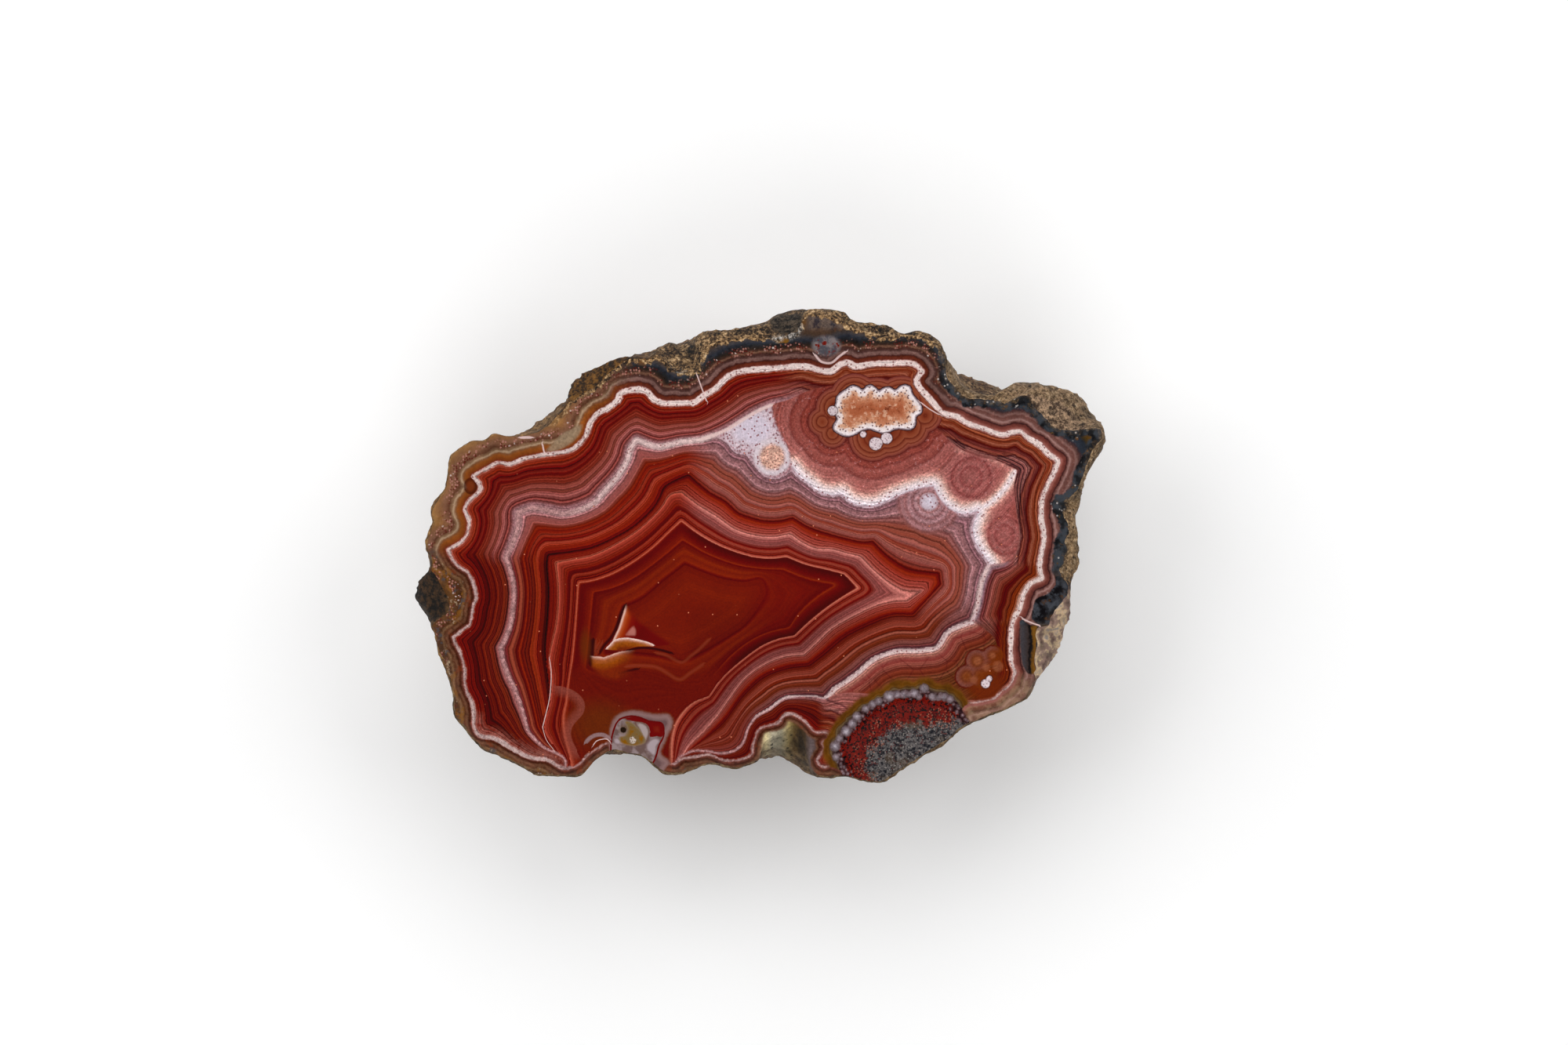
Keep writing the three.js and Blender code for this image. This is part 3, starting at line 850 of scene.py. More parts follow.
def nested_depth(points, inner_white):
    """How deep a point lies among the nested lines: whole numbers on the lines themselves."""
    lines = (DARK_LINE, SALMON_LINE, FRAME_LINE, FIELD_LINE, CORE_LINE)
    gaps = [inner_white] + [signed(points, line) for line in lines]
    depth = np.where(gaps[0] > 0, 0.0, -1.0)
    for level, (outer, inner) in enumerate(zip(gaps, gaps[1:])):
        between = (outer > 0) & (inner <= 0)
        share = outer / np.maximum(outer - inner, 1e-6)
        depth = np.where(between, level + np.clip(share, 0, 1), depth)
    core = gaps[-1]
    return np.where((core > 0) & (gaps[-2] > 0), 5 + np.clip(core / 40, 0, 1), depth)


def area(places, borders):
    """1 inside an area with soft borders."""
    share = 1.0
    for axis, start, end in borders:
        share = share * smoothstep(places[:, "xy".index(axis)], start, end)
    return share


def spot_distance(places, x, y, across, down):
    return np.hypot((places[:, 0] - x) * across, (places[:, 1] - y) * down)


def patch(places, x, y, across, down, end, whole):
    """1 in a soft patch round a spot."""
    return smoothstep(spot_distance(places, x, y, across, down), end, whole)


def leaning_change(places, middle, across, start, end):
    return smoothstep((places - middle) @ across, start, end)


def toward(value, goal, share):
    return value + (goal - value) * share


def white_band_fields(areas, foot_dark):
    """Half widths and whiteness of the two white bands."""
    west = areas["west"]
    low_west = west * areas["low"]
    half = 3.5 - 1.2 * west - 0.5 * areas["east"] - 0.5 * low_west
    half = toward(toward(half, 1.3, areas["low_side"]), 2.5, areas["low_left"])
    white = (1 - 0.25 * west - 0.35 * low_west) * (1 - 0.8 * areas["low_side"])
    white = toward(white, 0.45, areas["low_left"])
    inner_half = 3.4 - 1.3 * low_west - 0.6 * areas["far_east"]
    return {
        "band_half": toward(half, 0.9, areas["thin_right"]),
        "band_white": toward(white, 0.3, areas["thin_right"]),
        "inner_half": toward(inner_half, 0.8, areas["low_end"]),
        "inner_white_share": (1 - 0.85 * west) * (1 - 0.9 * foot_dark),
    }


def face_fields(places):
    """Where each point of the face lies among the bands and the single features."""
    fields = {name: signed(places, drawn) for name, drawn in SHAPES.items()}
    fields |= {name: discs_field(places, discs) for name, discs in DISCS.items()}
    fields |= {name: lean(places, line) for name, line in EDGES.items()}
    fields |= {name: spot_distance(places, *spot) for name, spot in SPOTS.items()}
    fields |= {name: patch(places, *measures) for name, measures in FACE_PATCHES.items()}
    fields |= {name: area(places, borders) for name, borders in FACE_AREAS.items()}
    for name, drawn in MARKS.items():
        fields[name], fields[name + "_near"] = marks_fields(places, drawn)

    band = signed(places, WHITE_BAND)
    inner = signed(places, INNER_WHITE)
    depth = nested_depth(places, inner)
    share = np.clip(band / np.maximum(band - fields["granular"], 1e-6), 0, 1)
    fields |= {"band": band, "inner": inner, "depth": depth, "outer_share": share}

    # Fine threads follow the bands, or in the granular zone the scallops round the halo.
    levels = np.interp(depth, range(len(THREAD_LEVELS)), THREAD_LEVELS)
    granular_threads = 300 + np.where(fields["low_right"] > 0.5, -inner, -fields["halo"])
    threads = np.where(fields["granular"] > 0, granular_threads, 100 + share * 64)
    threads = np.where(inner > 0, levels, threads)
    fields["threads"] = np.where(band > 0, threads, band)

    areas = {name: area(places, borders) for name, borders in AREAS.items()}
    side = areas["left"] * areas["low"]
    foot = areas["foot"]
    fields["side_share"] = side
    fields["east_share"] = leaning_change(places, *EAST_CHANGE)
    fields["outer_side_share"] = np.maximum(side, foot)
    fields["outer_east_share"] *= 1 - foot
    fields["outer_right_share"] *= 1 - fields["outer_low_east_share"]
    fields["crusty"] *= 1 - 0.85 * fields["glassy"]
    fields["lower_field"] *= smoothstep(depth, 3.0, 3.12)
    fields["heart_east"] *= smoothstep(depth, 4.04, 4.2)
    fields["haze"] *= smoothstep(band, 20, 3)
    fields["line_room"] = 1 - np.clip(areas["top_right"] + fields["low_right"], 0, 1)
    fields["orb_fade"] = leaning_change(places, *ORB_CHANGE)
    fields |= white_band_fields(areas, fields["foot_dark"])

    lobe_edge = smooth_run(LOBE_EDGE)
    fields["lobe"] = lean(places, lobe_edge)
    fields["lobe_near"] = distance(places, lobe_edge)
    fields["eye_rim"] = distance(places, smooth_run(EYE_RIM))
    fields["eye_top"] = distance(places, smooth_run(EYE_TOP))
    fields["low_lobe"] = np.maximum(signed(places, LOW_LOBE), signed(places, LEFT_LOBE))
    fields["pockets"] = np.max([signed(places, pocket) for pocket in POCKETS], axis=0)
    fields["knobs"] = smoothstep(discs_field(places, CRYSTAL_KNOBS), -4, 2)
    fields["edge"] = distance(places, np.concatenate((places[:COLUMNS], places[:1])))
    return fields


def add_pattern(mesh, points, face_count, hollow):
    """The fields that the materials read, on the points of the mesh."""
    places = sheet_places(points)
    beyond = np.zeros(len(points) - face_count)
    for name, values in face_fields(places[:face_count]).items():
        add_field(mesh, name, np.concatenate((values, beyond)))
    add_field(mesh, "across", places[:, 0])
    add_field(mesh, "rock_drop", (TOP - points[:, 2]) / SQUARE)
    add_field(mesh, "rock_room", distance(places, smooth_line(SILHOUETTE)))
    # The depth in the rock's hollows, for the painted shade of the rock.
    add_field(mesh, "rock_hollow_shade", hollow)
    for name, borders in ROCK_AREAS.items():
        add_field(mesh, name, area(places, borders))
    for name, measures in ROCK_PATCHES.items():
        add_field(mesh, name, patch(places, *measures))


# Materials

def srgb(red, green, blue):
    """A colour as seen on screen, from 0 to 255, as the shader's own numbers."""
    parts = [part / 255 for part in (red, green, blue)]
    return tuple(p / 12.92 if p <= 0.04045 else ((p + 0.055) / 1.055) ** 2.4 for p in parts)


class Graph:
    """Short names for the nodes that a material is made of."""

    spot_dimensions = "3D"

    def __init__(self, name):
        self.material = bpy.data.materials.new(name)
        self.material.use_nodes = True
        self.tree = self.material.node_tree
        self.tree.nodes.clear()
        place = self.node("TexCoord").outputs["Object"]
        scaled = self.node("Mapping")
        self.put(scaled.inputs["Vector"], place)
        scaled.inputs["Scale"].default_value = (1 / SQUARE, 1 / SQUARE, 1 / SQUARE)
        self.sheet = scaled.outputs[0]

    def node(self, kind, **settings):
        made = self.tree.nodes.new("ShaderNode" + kind)
        for key, value in settings.items():
            setattr(made, key, value)
        return made

    def put(self, socket, value):
        if isinstance(value, bpy.types.NodeSocket):
            self.tree.links.new(value, socket)
        elif socket.type == "RGBA":
            socket.default_value = (*value, 1)
        else:
            socket.default_value = value

    def field(self, name):
        return self.node("Attribute", attribute_name=name).outputs["Fac"]

    def calc(self, operation, first, second=0.0):
        made = self.node("Math", operation=operation)
        self.put(made.inputs[0], first)
        self.put(made.inputs[1], second)
        return made.outputs[0]

    def add(self, first, second):
        return self.calc("ADD", first, second)

    def less(self, first, second):
        return self.calc("SUBTRACT", first, second)

    def rest(self, share):
        return self.calc("SUBTRACT", 1.0, share)

    def times(self, *values):
        total = values[0]
        for value in values[1:]:
            total = self.calc("MULTIPLY", total, value)
        return total

    def most(self, first, second):
        return self.calc("MAXIMUM", first, second)

    def least(self, first, second):
        return self.calc("MINIMUM", first, second)

    def magnitude(self, value):
        return self.calc("ABSOLUTE", value)

    def rise(self, value, low, high):
        """0 up to low, 1 from high, smooth between. Falls instead where low is above high."""
        made = self.node("MapRange", interpolation_type="SMOOTHSTEP", clamp=False)
        self.put(made.inputs["Value"], value)
        made.inputs["From Min"].default_value = low
        made.inputs["From Max"].default_value = high
        return made.outputs["Result"]

    def mix(self, share, first, second, blend="MIX"):
        made = self.node("Mix", data_type="RGBA", blend_type=blend)
        self.put(made.inputs[0], share)
        self.put(made.inputs[6], first)
        self.put(made.inputs[7], second)
        return made.outputs[2]

    def ramp(self, value, stops):
        """Colours at given values, with even blends between them. A stop is a value and a colour."""
        low, high = stops[0][0], stops[-1][0]
        spread = self.node("MapRange", clamp=False)
        self.put(spread.inputs["Value"], value)
        spread.inputs["From Min"].default_value = low
        spread.inputs["From Max"].default_value = high
        made = self.node("ValToRGB")
        self.put(made.inputs[0], spread.outputs["Result"])
        elements = made.color_ramp.elements
        for index, (place, *colour) in enumerate(stops):
            place = (place - low) / (high - low)
            if index < 2:
                element = elements[index]
                element.position = place
            else:
                element = elements.new(place)
            element.color = (*srgb(*colour), 1)
        return made.outputs[0]

    def noise(self, size, detail=2.0, roughness=0.5, seed=0.0):
        """Soft noise from 0 to 1 with features about size squares across."""
        made = self.node("TexNoise", noise_dimensions="4D")
        self.put(made.inputs["Vector"], self.sheet)
        made.inputs["Scale"].default_value = 1 / size
        made.inputs["Detail"].default_value = detail
        made.inputs["Roughness"].default_value = roughness
        made.inputs["W"].default_value = seed
        return made.outputs[0]

    def threads(self, value, size, seed=0.0):
        """Noise along one measure only, so that it draws lines along the bands."""
        moved = self.add(value, seed)
        made = self.node("TexNoise", noise_dimensions="1D")
        self.put(made.inputs["W"], moved)
        made.inputs["Scale"].default_value = 1 / size
        made.inputs["Detail"].default_value = 2.0
        return made.outputs[0]

    def scattered(self, spacing, seed, feature="F1"):
        """Cells round scattered middles. Another seed moves them all aside."""
        moved = self.node("Mapping")
        self.put(moved.inputs["Vector"], self.sheet)
        moved.inputs["Location"].default_value = (seed, seed * 0.7, 0)
        made = self.node("TexVoronoi", voronoi_dimensions=self.spot_dimensions, feature=feature)
        self.put(made.inputs["Vector"], moved.outputs[0])
        made.inputs["Scale"].default_value = 1 / spacing
        return made

    def spots(self, spacing, seed=0.0):
        """0 in the middle of scattered bulbs and about 0.7 between them."""
        return self.scattered(spacing, seed).outputs["Distance"]

    def cracks(self, spacing, width, seed=0.0):
        """1 on the thin borders between scattered cells."""
        away = self.scattered(spacing, seed, "DISTANCE_TO_EDGE").outputs["Distance"]
        return self.rise(away, width / spacing, 0.0)

    def dots(self, spacing, radius, seed=0.0):
        """1 in scattered dots of about the given radius."""
        away = self.scattered(spacing, seed).outputs["Distance"]
        return self.rise(away, radius * 1.25 / spacing, radius * 0.75 / spacing)

    def scale_colour(self, colour, factor):
        made = self.node("HueSaturation")
        self.put(made.inputs["Color"], colour)
        self.put(made.inputs["Value"], factor)
        return made.outputs[0]

    def vary(self, colour, noise, strength):
        """Brightens and darkens a colour by a noise of 0 to 1. Strength may be a socket."""
        away = self.less(noise, 0.5)
        factor = self.add(self.times(away, strength), 1.0)
        return self.scale_colour(colour, self.most(factor, 0.15))

    def cells(self, size, seed=0.0):
        """A number from 0 to 1 for each grain of a fine crystalline stone."""
        return self.red_of(self.scattered(size, seed).outputs["Color"])

    def red_of(self, colour):
        parts = self.node("SeparateColor")
        self.put(parts.inputs[0], colour)
        return parts.outputs[0]

    def centred(self, noise, width):
        """A noise of 0 to 1 as a shift to both sides of zero."""
        return self.times(self.less(noise, 0.5), width)

    def stirred(self, value, noise, width):
        """A measure moved to both sides by a noise of 0 to 1."""
        return self.add(value, self.centred(noise, width))

    def paint(self, share, under, red, green, blue):
        return self.mix(share, under, srgb(red, green, blue))

    def two_tone(self, value, low, high, first, second):
        """One colour where a value is low and another where it is high."""
        return self.mix(self.rise(value, low, high), srgb(*first), srgb(*second))

    def shade(self, colour, share):
        """Takes a share off a colour's brightness."""
        return self.scale_colour(colour, self.rest(share))

    def deepen(self, colour, veil):
        """Takes off the faint light that the polish adds."""
        made = self.node("BrightContrast")
        self.put(made.inputs["Color"], colour)
        made.inputs["Bright"].default_value = -veil
        return made.outputs[0]

    def finish(self, colour, roughness, gloss, height=None, strength=0.0):
        shader = self.node("BsdfPrincipled")
        shader.inputs["Specular IOR Level"].default_value = gloss
        self.put(shader.inputs["Base Color"], colour)
        self.put(shader.inputs["Roughness"], roughness)
        shader.inputs["IOR"].default_value = STONE_IOR
        if height is not None:
            bump = self.node("Bump")
            bump.inputs["Strength"].default_value = strength
            bump.inputs["Distance"].default_value = BUMP_HEIGHT
            self.put(bump.inputs["Height"], height)
            self.put(shader.inputs["Normal"], bump.outputs[0])
        output = self.node("OutputMaterial")
        self.put(output.inputs["Surface"], shader.outputs[0])
        return self.material


# Bands from the outer white band (0) to the inner one (1), along the top.
OUTER_TOP = [
    (0.05, 115, 56, 46), (0.08, 110, 22, 9), (0.12, 107, 26, 10), (0.16, 110, 31, 15),
    (0.19, 114, 34, 24), (0.23, 100, 12, 9), (0.27, 106, 15, 11), (0.30, 114, 33, 26),
    (0.34, 93, 14, 7), (0.37, 92, 18, 11), (0.41, 108, 32, 22), (0.45, 121, 43, 31),
    (0.49, 104, 33, 22), (0.52, 109, 43, 34), (0.56, 121, 56, 47), (0.60, 128, 61, 53),
    (0.64, 120, 54, 42), (0.68, 125, 60, 55), (0.71, 141, 76, 71), (0.75, 133, 68, 64),
    (0.79, 103, 42, 38), (0.82, 124, 58, 53), (0.86, 118, 62, 60), (0.90, 135, 90, 92),
    (0.94, 165, 114, 118), (1.00, 170, 130, 134),
]
# The same down the left side.
OUTER_SIDE = [
    (0.00, 124, 34, 16), (0.06, 116, 20, 6), (0.15, 92, 15, 4), (0.24, 104, 20, 6), (0.29, 92, 12, 4),
    (0.35, 54, 4, 4), (0.40, 94, 20, 6), (0.47, 103, 26, 8), (0.53, 74, 6, 5), (0.59, 114, 34, 18),
    (0.65, 108, 29, 22), (0.70, 66, 14, 9), (0.75, 129, 42, 24), (0.80, 105, 35, 23),
    (0.84, 56, 14, 12), (0.89, 146, 78, 74), (0.95, 174, 118, 118), (1.00, 190, 134, 132),
]
# Squares in from the outer white band, along the upper right of the stone.
OUTER_EAST = [
    (3.5, 126, 74, 70), (4.7, 84, 30, 22), (7, 148, 76, 50), (9.3, 105, 36, 18), (12, 124, 58, 38),
    (14, 144, 78, 58), (16.3, 108, 42, 28), (18.7, 72, 8, 6), (21, 92, 38, 35), (24, 114, 50, 42),
    (26, 130, 64, 50), (28, 66, 18, 20), (31, 140, 86, 80), (35, 138, 74, 70), (38, 154, 90, 84),
    (40, 86, 42, 44), (43, 150, 86, 80),
]
OUTER_LOW_EAST = [
    (3, 140, 84, 72), (4, 105, 47, 34), (6, 58, 12, 4), (8, 114, 42, 10), (10, 82, 24, 4),
    (12, 107, 35, 6), (15, 88, 20, 3), (18, 78, 11, 6), (21, 92, 36, 30), (26, 106, 56, 48),
]
# The share of the way in again, between the lower pink eye and the orbs.
OUTER_RIGHT = [
    (0.08, 172, 134, 118), (0.12, 122, 64, 42), (0.16, 110, 40, 14), (0.26, 104, 36, 12),
    (0.30, 116, 50, 30), (0.34, 100, 34, 20), (0.39, 76, 6, 3), (0.45, 86, 14, 9), (0.51, 102, 37, 26),
    (0.58, 111, 48, 36), (0.63, 128, 64, 52), (0.68, 114, 52, 44), (0.73, 140, 74, 66),
    (0.80, 94, 38, 38), (0.86, 114, 57, 56), (0.91, 136, 98, 108), (0.96, 180, 150, 156),
    (1.00, 192, 162, 170),
]
# Black slits, as white lines on black over the share of the way between the white bands.
SLIT_LINES = [
    (0.67, 0, 0, 0), (0.69, 255, 255, 255), (0.72, 0, 0, 0), (0.77, 0, 0, 0), (0.79, 255, 255, 255),
    (0.81, 255, 255, 255), (0.83, 0, 0, 0), (0.86, 0, 0, 0), (0.88, 255, 255, 255),
    (0.9, 255, 255, 255), (0.92, 0, 0, 0), (0.94, 0, 0, 0), (0.96, 255, 255, 255), (0.98, 0, 0, 0),
]
# From the inner white band (0) through the dark line (1) to the salmon line (2).
DEEP_TOP = [
    (0.00, 200, 156, 158), (0.05, 174, 126, 129), (0.12, 148, 94, 94), (0.17, 137, 74, 70),
    (0.22, 127, 64, 60), (0.27, 136, 72, 66), (0.32, 130, 54, 42), (0.36, 108, 30, 16),
    (0.43, 117, 27, 9), (0.48, 108, 22, 6), (0.53, 136, 46, 32), (0.57, 129, 37, 22),
    (0.62, 106, 20, 5), (0.67, 96, 14, 5), (0.72, 146, 54, 38), (0.78, 138, 42, 24),
    (0.84, 126, 30, 13), (0.90, 122, 26, 8), (0.95, 90, 11, 0), (1.00, 52, 4, 1), (1.10, 86, 10, 1),
    (1.30, 112, 26, 12), (1.55, 130, 38, 24), (1.80, 112, 26, 16), (1.92, 140, 56, 42),
    (2.00, 158, 76, 60),
]
DEEP_SIDE = [
    (0.00, 192, 136, 136), (0.06, 116, 56, 56), (0.12, 96, 26, 26), (0.20, 148, 66, 46),
    (0.26, 104, 39, 29), (0.33, 90, 12, 6), (0.40, 128, 34, 12), (0.46, 90, 16, 6), (0.53, 116, 34, 23),
    (0.60, 86, 17, 4), (0.66, 132, 41, 19), (0.74, 140, 43, 23), (0.80, 112, 22, 10),
    (0.87, 106, 26, 8), (0.93, 66, 9, 2), (1.00, 24, 2, 1), (1.20, 108, 22, 8), (1.45, 120, 26, 12),
    (1.75, 118, 26, 18), (1.90, 146, 54, 38), (2.00, 170, 82, 62),
]
DEEP_EAST = [
    (0.00, 190, 160, 168), (0.06, 136, 94, 100), (0.12, 126, 84, 90), (0.18, 130, 88, 90),
    (0.22, 125, 82, 84), (0.27, 150, 104, 107), (0.32, 142, 96, 96), (0.36, 118, 66, 65),
    (0.41, 138, 82, 77), (0.45, 120, 60, 52), (0.50, 128, 62, 48), (0.55, 142, 70, 56),
    (0.58, 130, 59, 45), (0.63, 142, 76, 66), (0.68, 147, 80, 73), (0.71, 120, 44, 32),
    (0.75, 136, 60, 45), (0.80, 150, 82, 72), (0.86, 143, 75, 68), (0.89, 120, 52, 45),
    (0.95, 112, 40, 30), (0.98, 100, 22, 10), (1.00, 84, 10, 2), (1.08, 106, 19, 2),
    (1.20, 128, 34, 14), (1.40, 144, 46, 32), (1.60, 146, 58, 48), (1.85, 146, 62, 52),
    (2.00, 182, 102, 92),
]
DEEP_LOW = [
    (0.00, 200, 170, 168), (0.06, 98, 50, 57), (0.12, 102, 49, 46), (0.18, 121, 66, 61),
    (0.24, 117, 63, 56), (0.30, 107, 43, 30), (0.36, 117, 45, 24), (0.42, 114, 45, 29),
    (0.48, 150, 79, 63), (0.54, 101, 31, 18), (0.60, 119, 35, 17), (0.66, 144, 65, 50),
    (0.72, 132, 55, 42), (0.78, 130, 50, 35), (0.84, 108, 32, 19), (0.92, 86, 15, 4), (1.00, 99, 14, 1),
    (1.20, 127, 29, 14), (1.40, 135, 48, 34), (1.60, 140, 56, 46), (1.85, 142, 60, 50),
    (2.00, 178, 100, 90),
]
# From the salmon line (2) through the frame line (3) to the field line (4).
HEART_WEST = [
    (2.00, 158, 76, 60), (2.08, 146, 54, 40), (2.16, 132, 44, 32), (2.32, 134, 38, 24),
    (2.42, 120, 26, 10), (2.50, 90, 10, 3), (2.57, 84, 9, 3), (2.62, 112, 24, 12), (2.67, 148, 52, 36),
    (2.73, 126, 34, 19), (2.80, 110, 22, 10), (2.90, 98, 16, 6), (2.96, 146, 54, 36),
    (3.00, 180, 84, 62), (3.06, 120, 28, 10), (3.15, 92, 13, 1), (3.40, 94, 15, 2), (3.60, 104, 21, 4),
    (3.78, 112, 25, 8), (3.90, 132, 34, 14), (4.00, 84, 11, 0),
]
HEART_EAST = [
    (2.00, 182, 102, 92), (2.07, 168, 100, 92), (2.20, 136, 68, 64), (2.40, 138, 70, 66),
    (2.50, 112, 42, 36), (2.57, 104, 14, 8), (2.63, 118, 26, 18), (2.68, 152, 64, 48),
    (2.75, 126, 44, 34), (2.83, 104, 22, 12), (2.90, 118, 34, 26), (2.95, 150, 66, 52),
    (3.00, 190, 104, 84), (3.06, 84, 12, 3), (3.14, 68, 5, 0), (3.35, 80, 8, 0), (3.65, 96, 15, 2),
    (3.80, 104, 20, 5), (3.92, 126, 36, 16), (4.00, 98, 14, 2),
]
# From the field line (4) to the core line (5) and on into the plain middle.
CORE = [
    (4.00, 88, 13, 1), (4.14, 98, 20, 3), (4.28, 106, 24, 5), (4.37, 124, 35, 14), (4.47, 118, 32, 11),
    (4.58, 111, 27, 7), (4.70, 116, 30, 10), (4.82, 124, 34, 13), (4.92, 106, 20, 4), (5.00, 84, 11, 1),
    (5.06, 102, 22, 6), (5.30, 110, 26, 8), (5.60, 114, 29, 11), (6.00, 110, 26, 9),
]
# Squares out from the scalloped lower edge of the granular zone.
EYE_FRONT = [
    (0, 176, 150, 160), (1.5, 212, 196, 204), (6, 224, 206, 208), (10, 216, 186, 180),
    (14, 200, 150, 138), (18, 176, 114, 106), (24, 160, 94, 88), (34, 150, 82, 78), (46, 142, 72, 66),
    (62, 130, 58, 50), (90, 122, 50, 42),
]
LOW_FRONT = [
    (0, 176, 142, 148), (1.5, 218, 196, 192), (4, 188, 148, 144), (5.2, 160, 106, 98),
    (7, 172, 114, 100), (9.5, 138, 78, 68), (12, 128, 60, 54), (14.5, 120, 48, 42), (16.5, 140, 70, 60),
    (20, 130, 66, 54), (23, 108, 44, 34), (27, 114, 46, 30), (31, 98, 36, 22), (36, 108, 58, 38),
    (42, 92, 46, 24),
]
HALO_OUTSIDE = [
    (0, 80, 24, 22), (1.5, 118, 50, 42), (7, 130, 58, 48), (9, 104, 40, 36), (11, 142, 74, 66),
    (20, 134, 64, 56), (22, 108, 46, 42), (25, 152, 88, 82), (38, 144, 78, 72), (40, 116, 56, 52),
    (43, 156, 96, 90), (56, 150, 86, 82),
]
HALO_INSIDE = [
    (0, 80, 24, 22), (1.5, 116, 54, 46), (4, 138, 70, 54), (5.5, 100, 40, 30), (7, 138, 72, 52),
    (10, 124, 58, 40), (11.5, 92, 34, 24), (13, 134, 68, 46), (18, 120, 52, 32), (20, 98, 36, 22),
    (22, 122, 56, 36), (30, 104, 38, 22),
]
ISLAND_INSIDE = [
    (-2.5, 84, 34, 26), (-1, 40, 22, 26), (0.5, 150, 128, 134), (2, 226, 214, 216), (6, 220, 200, 194),
    (8.5, 202, 156, 130), (12, 180, 118, 88), (20, 162, 90, 60), (30, 142, 74, 48),
]
RINGED_EYE_RINGS = [
    (0, 206, 196, 208), (9, 190, 172, 182), (13, 146, 96, 96), (17, 168, 126, 130), (21, 130, 84, 86),
    (26, 166, 122, 126), (30, 132, 84, 84), (35, 156, 108, 110), (39, 122, 72, 70), (43, 150, 96, 92),
]
PINK_EYE_RINGS = [
    (0, 152, 88, 84), (10, 146, 80, 76), (14, 132, 66, 64), (17, 152, 88, 84), (22, 144, 78, 74),
    (25, 126, 62, 60), (28, 152, 88, 84), (34, 146, 82, 78), (46, 168, 118, 118),
]
ORB_RINGS = [
    (-3, 94, 30, 14), (-0.5, 82, 16, 10), (1, 110, 60, 50), (2.5, 116, 64, 54), (5, 114, 58, 42),
    (7, 106, 50, 30), (10, 120, 60, 30), (15, 108, 46, 14),
]
MOSS_HALO = [
    (-17, 104, 44, 28), (-14, 106, 54, 24), (-11, 100, 60, 20), (-8, 88, 52, 12), (-5.5, 98, 62, 22),
    (-4, 78, 52, 26), (-2.5, 98, 78, 54), (-1, 74, 56, 44), (1, 58, 42, 38), (4, 74, 54, 52),
]
MOSS_BEAD_RINGS = [
    (-2, 52, 36, 30), (0, 84, 68, 68), (2, 116, 100, 106), (4.5, 154, 142, 150), (7, 202, 194, 202),
]
MOSS_BULBS = [(0, 124, 106, 110), (0.22, 100, 80, 84), (0.42, 72, 46, 48), (0.6, 38, 22, 24)]
CAP_RIM = [
    (-3, 104, 34, 14), (-0.5, 108, 62, 50), (1.5, 122, 88, 84), (4, 132, 102, 100), (7, 118, 90, 88),
    (9, 98, 72, 72),
]
LEAF_GLOW = [
    (-1, 60, 30, 30), (0.3, 176, 124, 112), (1.6, 216, 176, 162), (3, 186, 112, 88), (4.5, 164, 72, 36),
    (8, 146, 46, 14), (13, 118, 22, 6), (20, 104, 12, 4), (30, 92, 6, 3), (45, 98, 12, 4),
]
ARCH_GLOW = [
    (0, 184, 124, 112), (1.0, 226, 196, 188), (2.4, 192, 140, 124), (4, 160, 94, 58), (6, 146, 76, 24),
    (9, 136, 64, 14), (13, 112, 40, 8),
]
FAN_GLOW = [
    (0, 164, 100, 84), (1.2, 206, 160, 146), (2.6, 178, 116, 94), (5, 154, 80, 40), (10, 140, 66, 16),
    (18, 116, 36, 8),
]
# Squares out from the outer white band, through the rind.
RIND_WEST = [
    (2.6, 110, 46, 30), (5, 116, 56, 24), (9, 130, 70, 28), (12, 116, 74, 46), (14.5, 160, 132, 106),
    (16.5, 122, 92, 68), (20, 88, 54, 38), (25, 118, 80, 60), (33, 124, 84, 52), (40, 146, 104, 60),
    (55, 154, 110, 58),
]
RIND_LOW = [
    (2, 100, 54, 44), (5, 60, 25, 14), (8, 102, 66, 48), (11, 78, 44, 28), (14, 112, 80, 56),
    (17, 70, 42, 26), (22, 82, 52, 32), (28, 94, 60, 32), (36, 80, 48, 18), (44, 58, 32, 8),
]
RIND_TOP = [
    (3.5, 120, 62, 50), (5, 92, 42, 33), (7.5, 90, 38, 24), (9.5, 62, 30, 26), (11.5, 108, 76, 70),
    (14, 112, 82, 76), (16, 74, 48, 44), (19, 66, 40, 34), (21.5, 112, 78, 62), (23.5, 66, 44, 36),
    (26, 44, 34, 28), (30, 34, 34, 36), (34, 42, 44, 52), (38, 60, 54, 54), (42, 66, 50, 40),
    (48, 82, 60, 46), (54, 88, 58, 26),
]
RIND_EAST = [
    (4, 140, 86, 78), (6.5, 112, 58, 50), (9.2, 96, 48, 42), (10.8, 50, 26, 27), (12.5, 104, 66, 60),
    (15, 146, 110, 104), (17, 108, 72, 66), (20, 96, 60, 54), (22.5, 122, 88, 82), (25.5, 84, 56, 52),
    (28, 54, 40, 42), (31, 42, 46, 54), (39, 38, 42, 50), (43, 58, 46, 28), (48, 84, 58, 22),
    (56, 90, 66, 44),
]
# Near-black to pale gold crust: its own dark and golden grains, and also painted shade in its hollows
# and painted highlights on its grains.
ROCK_CRUST_SHADE_AND_HIGHLIGHT = [
    (0.37, 14, 12, 11), (0.44, 48, 36, 28), (0.49, 98, 74, 52), (0.54, 142, 110, 74),
    (0.60, 190, 154, 110), (0.68, 222, 196, 158),
]
ROCK_GOLD = [
    (0.36, 22, 16, 12), (0.43, 92, 70, 50), (0.50, 150, 120, 86), (0.58, 196, 164, 124),
    (0.66, 232, 206, 172),
]
ROCK_PEARL = [
    (0.32, 104, 82, 74), (0.42, 146, 116, 104), (0.5, 168, 140, 124), (0.56, 222, 192, 152),
    (0.62, 206, 180, 154), (0.7, 150, 142, 138),
]
